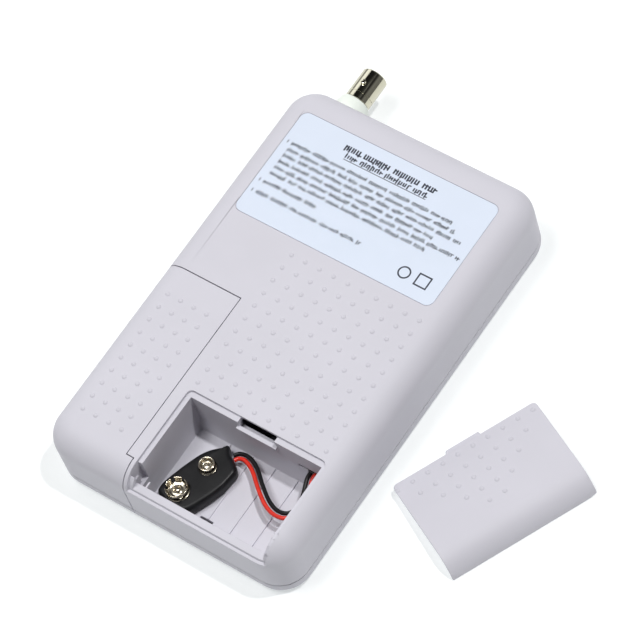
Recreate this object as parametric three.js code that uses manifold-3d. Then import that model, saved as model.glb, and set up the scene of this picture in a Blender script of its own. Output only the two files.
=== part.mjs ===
// Hand-held network cable tester, lying face down, with its battery door off beside it.
//
// Millimetres. +X is to the right when you look at the back, +Y towards the BNC jack,
// +Z up out of the back. The origin is the middle of the tester's outline, on the flat
// front face that it lies on.

import * as THREE from 'three';
import { mergeVertices } from 'three/addons/utils/BufferGeometryUtils.js';
import Module from 'manifold-3d';

const wasm = await Module();
wasm.setup();

// ---------------------------------------------------------------- driving dimensions

const CASE = { width: 100, length: 159, height: 28, corner: 11, backEdge: 9, frontEdge: 3 };
const WALL = 2.2;
const PARTING = 5.5;
const GAP = 0.3;
const FAR = 200;

// The remote module takes the corner below BAY.y and to the left of BAY.x. Near the foot
// of the case the seam steps to BAY.footX.
const BAY = { x: -17.9, y: -3.6, footX: -14.9, footY: -70.4 };
const RAIL = { z: 14, stem: 2, head: 4.4, y0: -66, y1: -10, neck: 1.3, depth: 2.4, clear: 0.35 };

const BATTERY = { x0: -11.6, x1: 41.6, y0: -75.3, y1: -42.2, floor: 8, wall: 2, footTop: 21.5 };
// The foot of the battery box's head wall and left wall leans in below this height.
const LEAN = { z: 13, head: 1.8, left: 0.8 };
const SEAT = { x0: -13.3, x1: 42.8, y1: -40.1, z0: 20.5, depth: 1.1, ledgeEnd: -70.5, pocket: 17 };
const TAB = { x0: 8.4, x1: 21.6, z0: 24.2, z1: 25.5, tip: -37.6, side: 0.8, lip: 1.1 };
// Under the tab slot the head wall opens into the case, down to PIT.z0.
const PIT = { y0: 0.5, y1: 4, z0: 22.4, z1: 26.8 };
// The door is thinner where it rests on the ledge, over RIM.wide from its edges.
const COVER_THICK = 1.8;
const RIM = { thick: 0.8, wide: 3 };
const CATCH = { x0: 12.5, x1: 17.5, z0: 21, z1: 22.4, out: 0.7 };
const COVER_POSE = { x: 66.1, y: -2.9, z: 0.12, yaw: 64 };

const NOTCH = { x0: 34, x1: 41.6, z0: 8, z1: 18.8, slit: 3.5, slitTall: 1.6 };
const RIBS = { first: 1.5, spacing: 9.25, halfWide: 0.35, tall: 0.5 };
const FLOOR_SLOT = { x0: 7.8, x1: 13, y0: -71.4, y1: -70.6 };
const GUSSET = { wide: 0.7, deep: 2.3, offset: 3.2 };

const BOARD = { bottom: 6, thick: 1.6 };
const BOARD_TOP = BOARD.bottom + BOARD.thick;

const BNC = {
  x: -33.6, z: 14, shell: 4.85, root: 73, rootRadius: 4.3, base: 84.4, tip: 97, mouth: 10,
  mouthRadius: 4.05, core: 2.75, pinY: 91, pinRadius: 1, collar: 6.5, collarEnd: 80.2,
  block: 7, blockDeep: 12.5, blockTop: 6.1,
};
const LABEL = {
  x0: -40.8, x1: 40.4, y0: 24.2, y1: 67.8, corner: 2.8, thick: 0.25, lift: 0.04, recess: 0.35,
};
const OVERLAY = { x0: -38, x1: 38, y0: 26, y1: 66, corner: 4, thick: 0.4, recess: 0.85 };
const BUTTON = { x: 18, y: 13, radius: 6, face: 0.6 };
const LED_ROW = { y: 54, x: [-28, -14, 0, 14, 28], radius: 1.5 };

const RJ45 = { wide: 16, tall: 13.3, deep: 18, face: -49.7 };
const USB_A = { wide: 13.1, tall: 5.8, deep: 14, face: -49.7 };
const USB_B = { wide: 12, tall: 11, deep: 16, face: -49.7 };
const MAIN_RJ45_Y = 51;
const MAIN_USB_Y = 22;
const REMOTE_RJ45_Y = -22;
const REMOTE_USB_Y = -50;

const CASE_SCREWS = [{ x: 37, y: 61 }, { x: -22, y: 33 }];
const BOARD_SCREWS = [{ x: -12, y: 9 }, { x: 40, y: 9 }];
const REMOTE_SCREW = { x: -27, y: -36 };

const SNAP = {
  x: 0.19, y: -61.85, bottom: 8.9, heading: 72.2, thick: 4.4, crownX: -7, studX: 5.7,
  pocket: 5.3, plate: 5.1,
};
// The sleeve seen from above: studs along X, the lead end at +X with its slanted edge.
const SLEEVE = [
  [-8.8, 6.6], [-12.3, 5.4], [-12.7, 0.5], [-10.8, -7.4], [-7.6, -8.5], [-1, -9.3], [5.2, -9.4],
  [12, -8.1], [13.6, -4.6], [14.2, -0.9], [16.3, 2.3], [14.3, 2.9], [10.4, 5.2], [6.5, 6.3],
  [-0.4, 6.7],
];
const LEAD = { radius: 0.75, spacing: 1.8 };

// ---------------------------------------------------------------- colours

const MATERIALS = {
  caseShell: { color: 0xdcdae4, roughness: 0.55, metalness: 0 },
  label: { color: 0xe5eeff, roughness: 0.4, metalness: 0 },
  overlay: { color: 0x5f7fa6, roughness: 0.45, metalness: 0 },
  whitePlastic: { color: 0xf1f4ee, roughness: 0.4, metalness: 0 },
  nickel: { color: 0xc9c5ae, roughness: 0.22, metalness: 1 },
  tinned: { color: 0xb9bbbd, roughness: 0.35, metalness: 1 },
  gold: { color: 0xd9b25a, roughness: 0.3, metalness: 1 },
  blackVinyl: { color: 0x17171a, roughness: 0.45, metalness: 0 },
  blackPlastic: { color: 0x1d1d20, roughness: 0.5, metalness: 0 },
  board: { color: 0x1f6a3c, roughness: 0.5, metalness: 0 },
  redPvc: { color: 0xd42318, roughness: 0.35, metalness: 0 },
  buttonRed: { color: 0xb8342b, roughness: 0.5, metalness: 0 },
  greenLens: { color: 0x4fae5a, roughness: 0.2, metalness: 0 },
  redLens: { color: 0xc94034, roughness: 0.2, metalness: 0 },
  steel: { color: 0x9a9c9e, roughness: 0.4, metalness: 1 },
};

// ---------------------------------------------------------------- solids

function solid(geometry) {
  const bare = geometry.clone();
  bare.deleteAttribute('normal');
  bare.deleteAttribute('uv');
  const merged = mergeVertices(bare, 1e-4);
  return new wasm.Manifold(new wasm.Mesh({
    numProp: 3,
    vertProperties: new Float32Array(merged.attributes.position.array),
    triVerts: new Uint32Array(merged.index.array),
  }));
}

function geometryOf(body) {
  const { vertProperties, triVerts } = body.getMesh();
  const geometry = new THREE.BufferGeometry();
  geometry.setAttribute('position', new THREE.BufferAttribute(new Float32Array(vertProperties), 3));
  geometry.setIndex(new THREE.BufferAttribute(new Uint32Array(triVerts), 1));
  geometry.computeVertexNormals();
  return geometry;
}

function box(x0, x1, y0, y1, z0, z1) {
  const geometry = new THREE.BoxGeometry(x1 - x0, y1 - y0, z1 - z0);
  geometry.translate((x0 + x1) / 2, (y0 + y1) / 2, (z0 + z1) / 2);
  return solid(geometry);
}

// A round bar or tapered round bar along Z.
function post(x, y, z0, z1, radius, endRadius = radius, sides = 20) {
  const geometry = new THREE.CylinderGeometry(endRadius, radius, z1 - z0, sides);
  geometry.rotateX(Math.PI / 2);
  geometry.translate(x, y, (z0 + z1) / 2);
  return solid(geometry);
}

// A closed shape turned from [radius, height] points about Z.
function turned(points, sides = 24) {
  const profile = points.map(([radius, height]) => new THREE.Vector2(radius, height));
  const geometry = new THREE.LatheGeometry(profile, sides);
  geometry.rotateX(Math.PI / 2);
  return geometry;
}

function roundedRectangle(x0, x1, y0, y1, radius) {
  const shape = new THREE.Shape();
  shape.moveTo(x0 + radius, y0);
  shape.lineTo(x1 - radius, y0);
  shape.absarc(x1 - radius, y0 + radius, radius, -Math.PI / 2, 0, false);
  shape.lineTo(x1, y1 - radius);
  shape.absarc(x1 - radius, y1 - radius, radius, 0, Math.PI / 2, false);
  shape.lineTo(x0 + radius, y1);
  shape.absarc(x0 + radius, y1 - radius, radius, Math.PI / 2, Math.PI, false);
  shape.lineTo(x0, y0 + radius);
  shape.absarc(x0 + radius, y0 + radius, radius, Math.PI, Math.PI * 1.5, false);
  return shape;
}

function plate(shape, z0, z1, curveSegments = 3) {
  const options = { depth: z1 - z0, bevelEnabled: false, curveSegments };
  const geometry = new THREE.ExtrudeGeometry(shape, options);
  geometry.translate(0, 0, z0);
  return solid(geometry);
}

// The case's outline, moved in by inset, with both flat faces' edges rounded.
function casing(inset, z0, z1, edge, fine) {
  const halfWidth = CASE.width / 2 - inset - edge;
  const halfLength = CASE.length / 2 - inset - edge;
  const corner = Math.max(CASE.corner - inset - edge, 0.4);
  const outline = roundedRectangle(-halfWidth, halfWidth, -halfLength, halfLength, corner);
  const geometry = new THREE.ExtrudeGeometry(outline, {
    depth: z1 - z0 - 2 * edge,
    bevelThickness: edge,
    bevelSize: edge,
    bevelSegments: fine ? 7 : 4,
    curveSegments: fine ? 4 : 2,
  });
  geometry.translate(0, 0, z0 + edge);
  return solid(geometry);
}

// Outer form of the whole case above the parting line, moved in by inset.
function backForm(inset, fine = false) {
  const top = CASE.height - inset;
  const edge = CASE.backEdge - inset;
  const form = casing(inset, top - 3 * CASE.height, top, edge, fine);
  return form.intersect(box(-FAR, FAR, -FAR, FAR, PARTING - 1, FAR));
}

// Outer form of the whole case below the parting line, moved in by inset.
function frontForm(inset, fine = false) {
  const form = casing(inset, inset, 3 * CASE.height, Math.max(CASE.frontEdge - inset, 0.5), fine);
  return form.intersect(box(-FAR, FAR, -FAR, FAR, -1, PARTING + 1));
}

// Everything on the remote module's side of the seam, moved towards the module by clear.
function bay(clear) {
  const upper = box(-FAR, BAY.x - clear, -FAR, BAY.y - clear, -FAR, FAR);
  const foot = box(-FAR, BAY.footX - clear, -FAR, BAY.footY - clear, -FAR, FAR);
  return upper.add(foot);
}

const aboveParting = box(-FAR, FAR, -FAR, FAR, PARTING + GAP / 2, FAR);
const belowParting = box(-FAR, FAR, -FAR, FAR, -FAR, PARTING - GAP / 2);

// ---------------------------------------------------------------- sockets in the left side

// The opening that a side socket needs in a back shell.
function socketHole(y, socket) {
  const reach = socket.wide / 2 + GAP;
  const top = BOARD_TOP + 2 * GAP + socket.tall;
  return box(-FAR, -CASE.width / 2 + WALL + 4, y - reach, y + reach, BOARD_TOP, top);
}

function rj45Housing(y) {
  const z0 = BOARD_TOP + GAP;
  const side = RJ45.wide / 2;
  const mouthEnd = RJ45.face + 14;
  const body = box(RJ45.face, RJ45.face + RJ45.deep, y - side, y + side, z0, z0 + RJ45.tall);
  const mouth = box(-FAR, mouthEnd, y - 5.95, y + 5.95, z0 + 3.4, z0 + 11.2);
  const latch = box(-FAR, mouthEnd, y - 3.1, y + 3.1, z0 + 1.2, z0 + 4);
  return body.subtract(mouth).subtract(latch);
}

// Eight spring wires on one bar, hanging from the roof of the socket.
function rj45Contacts(y) {
  const z0 = BOARD_TOP + GAP;
  let comb = box(RJ45.face + 11.6, RJ45.face + 13.6, y - 5.4, y + 5.4, z0 + 8.2, z0 + 10.8);
  for (let pin = 0; pin < 8; pin++) {
    const pinY = y - 3.57 + pin * 1.02;
    const wire = box(RJ45.face + 5.2, RJ45.face + 12, pinY - 0.22, pinY + 0.22, z0 + 9.2, z0 + 9.7);
    comb = comb.add(wire);
  }
  return comb;
}

function usbShell(y, socket, wall) {
  const z0 = BOARD_TOP + GAP;
  const z1 = z0 + socket.tall;
  const back = socket.face + socket.deep;
  const side = socket.wide / 2;
  const body = box(socket.face, back, y - side, y + side, z0, z1);
  const inside = box(-FAR, back - wall, y - side + wall, y + side - wall, z0 + wall, z1 - wall);
  return body.subtract(inside);
}

function usbATongue(y) {
  const z0 = BOARD_TOP + GAP;
  const back = USB_A.face + USB_A.deep;
  const block = box(back - 4, back - 0.8, y - 6, y + 6, z0 + 0.8, z0 + USB_A.tall - 0.8);
  return block.add(box(USB_A.face + 1, back - 3, y - 5.5, y + 5.5, z0 + 0.9, z0 + 2.7));
}

function usbBTongue(y) {
  const z0 = BOARD_TOP + GAP;
  const back = USB_B.face + USB_B.deep;
  const block = box(back - 5, back - 0.9, y - 5, y + 5, z0 + 1, z0 + USB_B.tall - 1);
  return block.add(box(USB_B.face + 2, back - 4, y - 2.8, y + 2.8, z0 + 3.9, z0 + 7.1));
}

// ---------------------------------------------------------------- main case

function batteryBox(grow) {
  return box(
    BATTERY.x0 - grow, BATTERY.x1 + grow, BATTERY.y0 - grow, BATTERY.y1 + grow,
    BATTERY.floor - grow, FAR,
  );
}

// The space that the battery door fills, down to the ledge that it rests on.
function doorSeat() {
  const column = box(SEAT.x0, SEAT.x1, -FAR, SEAT.y1, SEAT.z0, FAR);
  return column.subtract(backForm(SEAT.depth));
}

function floorRibs() {
  const { y0, y1, floor } = BATTERY;
  const end = y1 - LEAN.head - 0.2;
  let ribs = null;
  for (let index = 0; index < 4; index++) {
    const x = RIBS.first + index * RIBS.spacing;
    const rib = box(
      x - RIBS.halfWide, x + RIBS.halfWide, y0 - 0.5, end, floor - 0.5, floor + RIBS.tall,
    );
    ribs = ribs ? ribs.add(rib) : rib;
  }
  return ribs;
}

// Wedge along a wall's foot: from is the wall's face, reach is how far in its toe comes.
function leaningFoot(reach, length) {
  const wedge = new THREE.Shape();
  wedge.moveTo(-0.5, BATTERY.floor - 0.5);
  wedge.lineTo(reach, BATTERY.floor - 0.5);
  wedge.lineTo(reach, BATTERY.floor);
  wedge.lineTo(0, LEAN.z);
  wedge.lineTo(-0.5, LEAN.z);
  const geometry = new THREE.ExtrudeGeometry(wedge, { depth: length, bevelEnabled: false });
  geometry.rotateX(Math.PI / 2);
  return geometry;
}

function leaningFeet() {
  const { x0, x1, y0, y1 } = BATTERY;
  const left = leaningFoot(LEAN.left, y1 - y0 + 0.6);
  left.translate(x0, y1 + 0.3, 0);
  const head = leaningFoot(LEAN.head, x1 - x0 + 0.6);
  head.rotateZ(-Math.PI / 2);
  head.translate(x1 + 0.3, y1, 0);
  return solid(left).add(solid(head));
}

// Small upright ribs that stiffen the wall at the foot of the battery box.
function footGussets() {
  const { x0, y0, floor, footTop } = BATTERY;
  let gussets = null;
  for (const x of [SEAT.x0, x0 + GUSSET.offset]) {
    const gusset = box(x, x + GUSSET.wide, y0 - 0.5, y0 + GUSSET.deep, floor - 0.5, footTop);
    gussets = gussets ? gussets.add(gusset) : gusset;
  }
  return gussets;
}

// The way in for the door's tab: a gap in the ledge that opens into the case.
function tabSlot(shell) {
  const { y1 } = BATTERY;
  const x0 = TAB.x0 - TAB.side;
  const x1 = TAB.x1 + TAB.side;
  const bottom = TAB.z0 - GAP;
  const lip = box(x0 - TAB.side, x1 + TAB.side, y1 - TAB.lip, y1 + PIT.y0, bottom - 1, bottom);
  return shell
    .add(lip)
    .subtract(box(x0, x1, y1 - 2, SEAT.y1, bottom, FAR))
    .subtract(box(x0, x1, y1 - 2, y1 + PIT.y1, bottom, PIT.z1))
    .subtract(box(x0, x1, y1 + PIT.y0, y1 + PIT.y1, PIT.z0, PIT.z1));
}

// Where the leads come through the head wall, with the slit that they are laid in from.
function leadNotch() {
  const y0 = BATTERY.y1 - LEAN.head - 1;
  const y1 = BATTERY.y1 + 5;
  const slitX = NOTCH.x0 - NOTCH.slit;
  return box(NOTCH.x0, NOTCH.x1, y0, y1, NOTCH.z0, NOTCH.z1)
    .add(box(slitX, NOTCH.x0 + 1, y0, y1, NOTCH.z1 - NOTCH.slitTall, NOTCH.z1));
}

function batteryDetails(shell) {
  const { x0, y0, floor } = BATTERY;
  const { x0: slotX0, x1: slotX1, y0: slotY0, y1: slotY1 } = FLOOR_SLOT;
  const detailed = shell
    .subtract(box(SEAT.x0, x0 + 1, y0, SEAT.ledgeEnd, SEAT.pocket, FAR))
    .add(leaningFeet())
    .add(floorRibs())
    .add(footGussets())
    .subtract(box(slotX0, slotX1, slotY0, slotY1, floor - 4, floor + 1))
    .subtract(leadNotch());
  return tabSlot(detailed);
}

// T-shaped rail on the wall beside the module, grown for the groove that runs on it.
function dockRail(wallX, grow, y0, y1) {
  const { z, stem, head } = RAIL;
  const neckX = wallX - RAIL.neck + grow;
  const tipX = wallX - RAIL.depth - grow;
  return box(neckX - 0.5, wallX + 1, y0, y1, z - stem / 2 - grow, z + stem / 2 + grow)
    .add(box(tipX, neckX, y0, y1, z - head / 2 - grow, z + head / 2 + grow));
}

function rearShell() {
  const { x0, x1, y0, footTop } = BATTERY;
  const seatBottom = CASE.height - WALL - SEAT.depth;
  const hollow = backForm(WALL)
    .subtract(bay(-WALL - GAP / 2))
    .subtract(batteryBox(BATTERY.wall))
    .subtract(box(SEAT.x0 - 2, SEAT.x1 + 2, -FAR, SEAT.y1 + 2, seatBottom, FAR));
  let shell = backForm(0, true)
    .intersect(aboveParting)
    .subtract(bay(-GAP / 2))
    .subtract(hollow)
    .subtract(doorSeat())
    .subtract(batteryBox(0))
    .subtract(box(x0, x1, -FAR, y0 + 1, footTop, FAR));
  for (const screw of CASE_SCREWS) {
    shell = shell
      .add(post(screw.x, screw.y, BOARD_TOP + 0.8, CASE.height - WALL + 0.5, 3.6))
      .subtract(post(screw.x, screw.y, 0, FAR, 1.7))
      .subtract(post(screw.x, screw.y, CASE.height - 3.6, FAR, 3));
  }
  return batteryDetails(shell)
    .add(dockRail(BAY.x + GAP / 2, 0, RAIL.y0, RAIL.y1))
    .subtract(socketHole(MAIN_RJ45_Y, RJ45))
    .subtract(socketHole(MAIN_USB_Y, USB_A))
    .subtract(bncCollarHole())
    .subtract(plate(labelOutline(GAP / 2), CASE.height - LABEL.recess, FAR));
}

function bncCollarHole() {
  const geometry = new THREE.CylinderGeometry(6.9, 6.9, 12, 28);
  geometry.translate(BNC.x, CASE.length / 2, BNC.z);
  return solid(geometry);
}

function labelOutline(grow) {
  return roundedRectangle(
    LABEL.x0 - grow, LABEL.x1 + grow, LABEL.y0 - grow, LABEL.y1 + grow, LABEL.corner + grow,
  );
}

function overlayOutline(grow) {
  const { x0, x1, y0, y1, corner } = OVERLAY;
  return roundedRectangle(x0 - grow, x1 + grow, y0 - grow, y1 + grow, corner);
}

function frontShell() {
  const hollow = frontForm(WALL)
    .subtract(bay(-WALL - GAP / 2))
    .intersect(box(-FAR, FAR, -FAR, FAR, 2, FAR));
  let shell = frontForm(0, true)
    .intersect(belowParting)
    .subtract(bay(-GAP / 2))
    .subtract(hollow);
  for (const screw of CASE_SCREWS) {
    shell = shell
      .add(post(screw.x, screw.y, 1, BOARD_TOP + 0.4, 3.4))
      .subtract(post(screw.x, screw.y, 2.6, FAR, 1.6));
  }
  for (const screw of BOARD_SCREWS) {
    shell = shell
      .add(post(screw.x, screw.y, 1, BOARD.bottom - GAP, 3))
      .subtract(post(screw.x, screw.y, 2.4, FAR, 1.5));
  }
  for (const x of LED_ROW.x) {
    shell = shell.subtract(post(x, LED_ROW.y, -1, 4, LED_ROW.radius + GAP));
  }
  const buttonHole = BUTTON.radius + 0.35;
  return shell
    .subtract(plate(overlayOutline(GAP), -1, OVERLAY.recess))
    .subtract(post(BUTTON.x, BUTTON.y, -1, 4, buttonHole, buttonHole, 32));
}

function backLabel() {
  const z0 = CASE.height - LABEL.recess + LABEL.lift;
  return plate(labelOutline(0), z0, z0 + LABEL.thick);
}

function frontOverlay() {
  const z1 = OVERLAY.recess - GAP;
  let sheet = plate(overlayOutline(0), z1 - OVERLAY.thick, z1);
  for (const x of LED_ROW.x) {
    sheet = sheet.subtract(post(x, LED_ROW.y, -1, 4, LED_ROW.radius + 0.2));
  }
  return sheet;
}

// ---------------------------------------------------------------- inside the main case

function mainBoard() {
  let board = plate(roundedRectangle(-45.3, 45.3, 2, 75.5, 7.5), BOARD.bottom, BOARD_TOP);
  for (const screw of CASE_SCREWS) {
    board = board.subtract(post(screw.x, screw.y, 0, FAR, 4));
  }
  for (const screw of BOARD_SCREWS) {
    board = board.subtract(post(screw.x, screw.y, 0, FAR, 1.6));
  }
  return board;
}

function testButton() {
  return turned([
    [0, BUTTON.face], [5.2, BUTTON.face], [BUTTON.radius, BUTTON.face + 0.5], [BUTTON.radius, 2.3],
    [7.3, 2.3], [7.3, 3], [0, 3],
  ], 32);
}

function switchHousing() {
  const housing = box(-3, 3, -3, 3, 4.4, BOARD.bottom - GAP);
  return housing.subtract(post(0, 0, 0, FAR, 2));
}

function led() {
  const flange = BOARD.bottom - GAP;
  const r = LED_ROW.radius;
  return turned([
    [0, 0.75], [r * 0.55, 0.95], [r * 0.9, 1.5], [r, 2.2], [r, 5], [1.9, 5], [1.9, flange],
    [0, flange],
  ], 16);
}

// Pan head up, with the shank running down from it.
function screw(headRadius, headHeight, shankRadius, shankLength) {
  const reach = headRadius * 0.6;
  const slotFloor = headHeight - 0.6;
  const cross = box(-reach, reach, -0.35, 0.35, slotFloor, headHeight + 1)
    .add(box(-0.35, 0.35, -reach, reach, slotFloor, headHeight + 1));
  return post(0, 0, 0, headHeight, headRadius, headRadius * 0.8, 16)
    .add(post(0, 0, -shankLength, 0.2, shankRadius, shankRadius, 12))
    .subtract(cross);
}

// A closed shape turned from [radius, y] points about the jack's axis.
function alongJack(points, sides) {
  const geometry = turned(points, sides);
  geometry.rotateX(-Math.PI / 2);
  return geometry;
}

function bncBase() {
  const inner = CASE.length / 2 - WALL - GAP;
  const { block, collar, collarEnd, base } = BNC;
  const bottom = BOARD_TOP + GAP - BNC.z;
  const housing = box(-block, block, inner - BNC.blockDeep, inner, bottom, BNC.blockTop);
  const cone = alongJack([
    [0, inner - 1], [collar, inner - 1], [collar, collarEnd], [5.5, base], [0, base],
  ], 28);
  const bore = alongJack([[0, inner - 6], [4.7, inner - 6], [4.7, FAR], [0, FAR]], 24);
  return housing.add(solid(cone)).subtract(solid(bore));
}

// Nickel barrel with two bayonet pins, open at the mating end.
function bncShell() {
  const { shell: r, root, rootRadius, base, tip, mouth, mouthRadius, core, pinY, pinRadius } = BNC;
  const barrel = alongJack([
    [0, root], [rootRadius, root], [rootRadius, base + GAP], [r, base + GAP], [r, tip - 0.5],
    [r - 0.5, tip], [0, tip],
  ], 32);
  const pins = post(0, pinY, -r - 1, r + 1, pinRadius, pinRadius, 12);
  const opening = alongJack([
    [0, tip - mouth], [mouthRadius, tip - mouth], [mouthRadius, FAR], [0, FAR],
  ], 24);
  const through = alongJack([[0, root - 3], [core, root - 3], [core, FAR], [0, FAR]], 24);
  return solid(barrel).add(pins).subtract(solid(opening)).subtract(solid(through));
}

function bncInsulator() {
  const end = BNC.tip - 2.2;
  return alongJack([[1.1, 74], [2.45, 74], [2.45, end], [1.1, end], [1.1, 74]], 20);
}

function bncContact() {
  const end = BNC.tip - 2.6;
  const well = BNC.tip - 7;
  return alongJack([
    [0, BNC.root], [0.8, BNC.root], [0.8, end], [0.45, end], [0.45, well], [0, well],
  ], 14);
}

// ---------------------------------------------------------------- remote module

// The module's outer form: its share of the case, kept clear of the main case's rail.
function remoteForm(form) {
  const groove = dockRail(BAY.x + GAP / 2, RAIL.clear, RAIL.y0 - GAP, FAR);
  return form.intersect(bay(GAP / 2)).subtract(groove);
}

function remoteHollow(form) {
  const inner = box(-FAR, BAY.x - WALL - GAP / 2, -FAR, BAY.y - WALL - GAP / 2, -FAR, FAR);
  const railCore = box(BAY.x - WALL - 2.6, FAR, -FAR, FAR, RAIL.z - 4.6, RAIL.z + 4.6);
  return form.intersect(inner).subtract(railCore);
}

function remoteRearShell() {
  const { x, y } = REMOTE_SCREW;
  return remoteForm(backForm(0, true).intersect(aboveParting))
    .subtract(remoteHollow(backForm(WALL)))
    .add(post(x, y, BOARD_TOP + 0.8, CASE.height - WALL + 0.5, 3.2))
    .subtract(post(x, y, 0, 20, 1.5))
    .subtract(socketHole(REMOTE_RJ45_Y, RJ45))
    .subtract(socketHole(REMOTE_USB_Y, USB_B));
}

function remoteFrontShell() {
  const { x, y } = REMOTE_SCREW;
  const hollow = remoteHollow(frontForm(WALL)).intersect(box(-FAR, FAR, -FAR, FAR, 2, FAR));
  return remoteForm(frontForm(0, true).intersect(belowParting))
    .subtract(hollow)
    .add(post(x, y, 1, BOARD.bottom - GAP, 4.4))
    .subtract(post(x, y, -1, 3, 3.1))
    .subtract(post(x, y, -1, FAR, 1.6));
}

function remoteBoard() {
  const board = box(-45.3, -23.5, -72, -9, BOARD.bottom, BOARD_TOP);
  return board.subtract(post(REMOTE_SCREW.x, REMOTE_SCREW.y, 0, FAR, 1.8));
}

// ---------------------------------------------------------------- battery door

// Drawn where it closes the battery box; the pose below lays it on the table.
function batteryDoor() {
  const { x0, x1, y1, z0 } = SEAT;
  const column = box(x0 + GAP, x1 - GAP, -FAR, y1 - GAP, z0 + GAP, FAR);
  const middle = box(x0 + RIM.wide, x1 - RIM.wide, -FAR, y1 - RIM.wide, z0 - 1, FAR);
  const foot = COVER_THICK - CASE.length / 2;
  return backForm(0, true)
    .intersect(column)
    .subtract(backForm(COVER_THICK))
    .subtract(backForm(RIM.thick).subtract(middle))
    .add(box(TAB.x0, TAB.x1, y1 - RIM.wide - 1, TAB.tip, TAB.z0, TAB.z1))
    .add(box(TAB.x0, TAB.x1, y1 - RIM.wide - 1, y1 - RIM.wide + 0.6, TAB.z0, CASE.height - 1))
    .add(box(CATCH.x0, CATCH.x1, foot - 0.3, foot + CATCH.out, CATCH.z0, CATCH.z1));
}

function laidDoor() {
  const pivot = new THREE.Vector3((SEAT.x0 + SEAT.x1) / 2, TAB.tip, TAB.z0);
  const footY = -CASE.length / 2 + COVER_THICK;
  const footZ = SEAT.z0 + GAP;
  const tilt = Math.atan2(pivot.z - footZ, pivot.y - footY);
  const geometry = geometryOf(batteryDoor());
  geometry.translate(-pivot.x, -pivot.y, -pivot.z);
  const door = mesh('battery_door', geometry, 'caseShell');
  door.rotation.x = -tilt;
  const stand = new THREE.Group();
  stand.position.set(COVER_POSE.x, COVER_POSE.y, COVER_POSE.z);
  stand.rotation.z = THREE.MathUtils.degToRad(COVER_POSE.yaw);
  stand.add(door);
  return stand;
}

// ---------------------------------------------------------------- battery snap and leads

function sleeveOutline() {
  return new THREE.Shape(SLEEVE.map(([x, y]) => new THREE.Vector2(x, y)));
}

// A long hole or plate round both contacts.
function slotShape(radius) {
  const shape = new THREE.Shape();
  shape.absarc(SNAP.crownX, 0, radius, Math.PI / 2, Math.PI * 1.5, false);
  shape.absarc(SNAP.studX, 0, radius, -Math.PI / 2, Math.PI / 2, false);
  return shape;
}

function snapSleeve() {
  const pocket = plate(slotShape(SNAP.pocket), SNAP.thick - 1.6, FAR, 4);
  return plate(sleeveOutline(), 0, SNAP.thick, 4).subtract(pocket);
}

function snapPlate() {
  return plate(slotShape(SNAP.plate - GAP / 2), SNAP.thick - 1.3, SNAP.thick - 0.1, 4);
}

// Round stud: the solid contact of the pair.
function studGeometry() {
  return turned([
    [0, 0], [3.6, 0], [3.6, 0.4], [2.5, 0.6], [2.3, 1.2], [2.85, 2], [2.6, 2.5], [1.6, 2.6],
    [1.3, 1.8], [0, 1.8],
  ], 20);
}

// Crown: the six-petal contact that grips a battery's round stud.
function crownGeometry() {
  let cup = solid(turned([
    [0, 0], [4.2, 0], [4.2, 0.4], [3.4, 0.6], [3.9, 1.4], [3.6, 2.6], [3.1, 2.6], [3.2, 1.4],
    [2.8, 0.9], [0, 0.9],
  ], 24));
  for (let petal = 0; petal < 6; petal++) {
    const slot = new THREE.BoxGeometry(3, 0.7, 2.4);
    slot.translate(3.6, 0, 2.3);
    slot.rotateZ((petal * Math.PI) / 3);
    cup = cup.subtract(solid(slot));
  }
  return geometryOf(cup);
}

function snapAssembly() {
  const snap = new THREE.Group();
  snap.position.set(SNAP.x, SNAP.y, SNAP.bottom);
  snap.rotation.z = THREE.MathUtils.degToRad(SNAP.heading);
  snap.add(mesh('snap_sleeve', geometryOf(snapSleeve()), 'blackVinyl'));
  snap.add(mesh('snap_contact_plate', geometryOf(snapPlate()), 'blackPlastic'));
  const stud = mesh('snap_stud', studGeometry(), 'tinned');
  stud.position.set(SNAP.studX, 0, SNAP.thick + 0.2);
  const crown = mesh('snap_crown', crownGeometry(), 'tinned');
  crown.position.set(SNAP.crownX, 0, SNAP.thick + 0.2);
  snap.add(stud, crown);
  return snap;
}

// Middle line of the pair of leads, from the notch in the battery box to the snap.
const LEAD_ROUTE = [
  [36, -42.2, 16.6], [36.1, -44.4, 16.5], [37.2, -47.6, 16], [38.4, -51, 15.9],
  [38.9, -54.4, 16], [38.2, -57.4, 16], [35.9, -59.3, 15.8], [32.2, -59.5, 15.1],
  [28.05, -58, 14.2], [24.1, -55.5, 13.4], [20.4, -52.7, 12.8], [17, -49.9, 12.2],
  [13.8, -47.9, 11.9], [10.7, -46.9, 11.6], [8.2, -47.2, 11.2], [6.75, -48.6, 11],
];

// Middle line of the pair inside the case, from the board to the notch.
const INNER_ROUTE = [
  [37.6, 5, 8.9], [37.7, 1, 9.2], [37.9, -4, 10.4], [38.1, -12, 12.6], [38, -22, 14.8],
  [37.2, -31, 16], [36.3, -37.5, 16.5], [36, -41.9, 16.6],
];

// One lead of the pair: the middle line moved sideways by offset, in plan.
function leadPoints(route, offset) {
  return route.map(([x, y, z], index) => {
    const before = route[Math.max(index - 1, 0)];
    const after = route[Math.min(index + 1, route.length - 1)];
    const run = new THREE.Vector2(after[0] - before[0], after[1] - before[1]).normalize();
    return new THREE.Vector3(x - run.y * offset, y + run.x * offset, z);
  });
}

function lead(route, offset, steps) {
  const section = new THREE.Shape();
  const sides = 8;
  for (let side = 0; side < sides; side++) {
    const angle = (side * 2 * Math.PI) / sides;
    const point = [LEAD.radius * Math.cos(angle), LEAD.radius * Math.sin(angle)];
    if (side === 0) section.moveTo(...point);
    else section.lineTo(...point);
  }
  const path = new THREE.CatmullRomCurve3(leadPoints(route, offset));
  return new THREE.ExtrudeGeometry(section, { steps, extrudePath: path, bevelEnabled: false });
}

// ---------------------------------------------------------------- assembly

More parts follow.
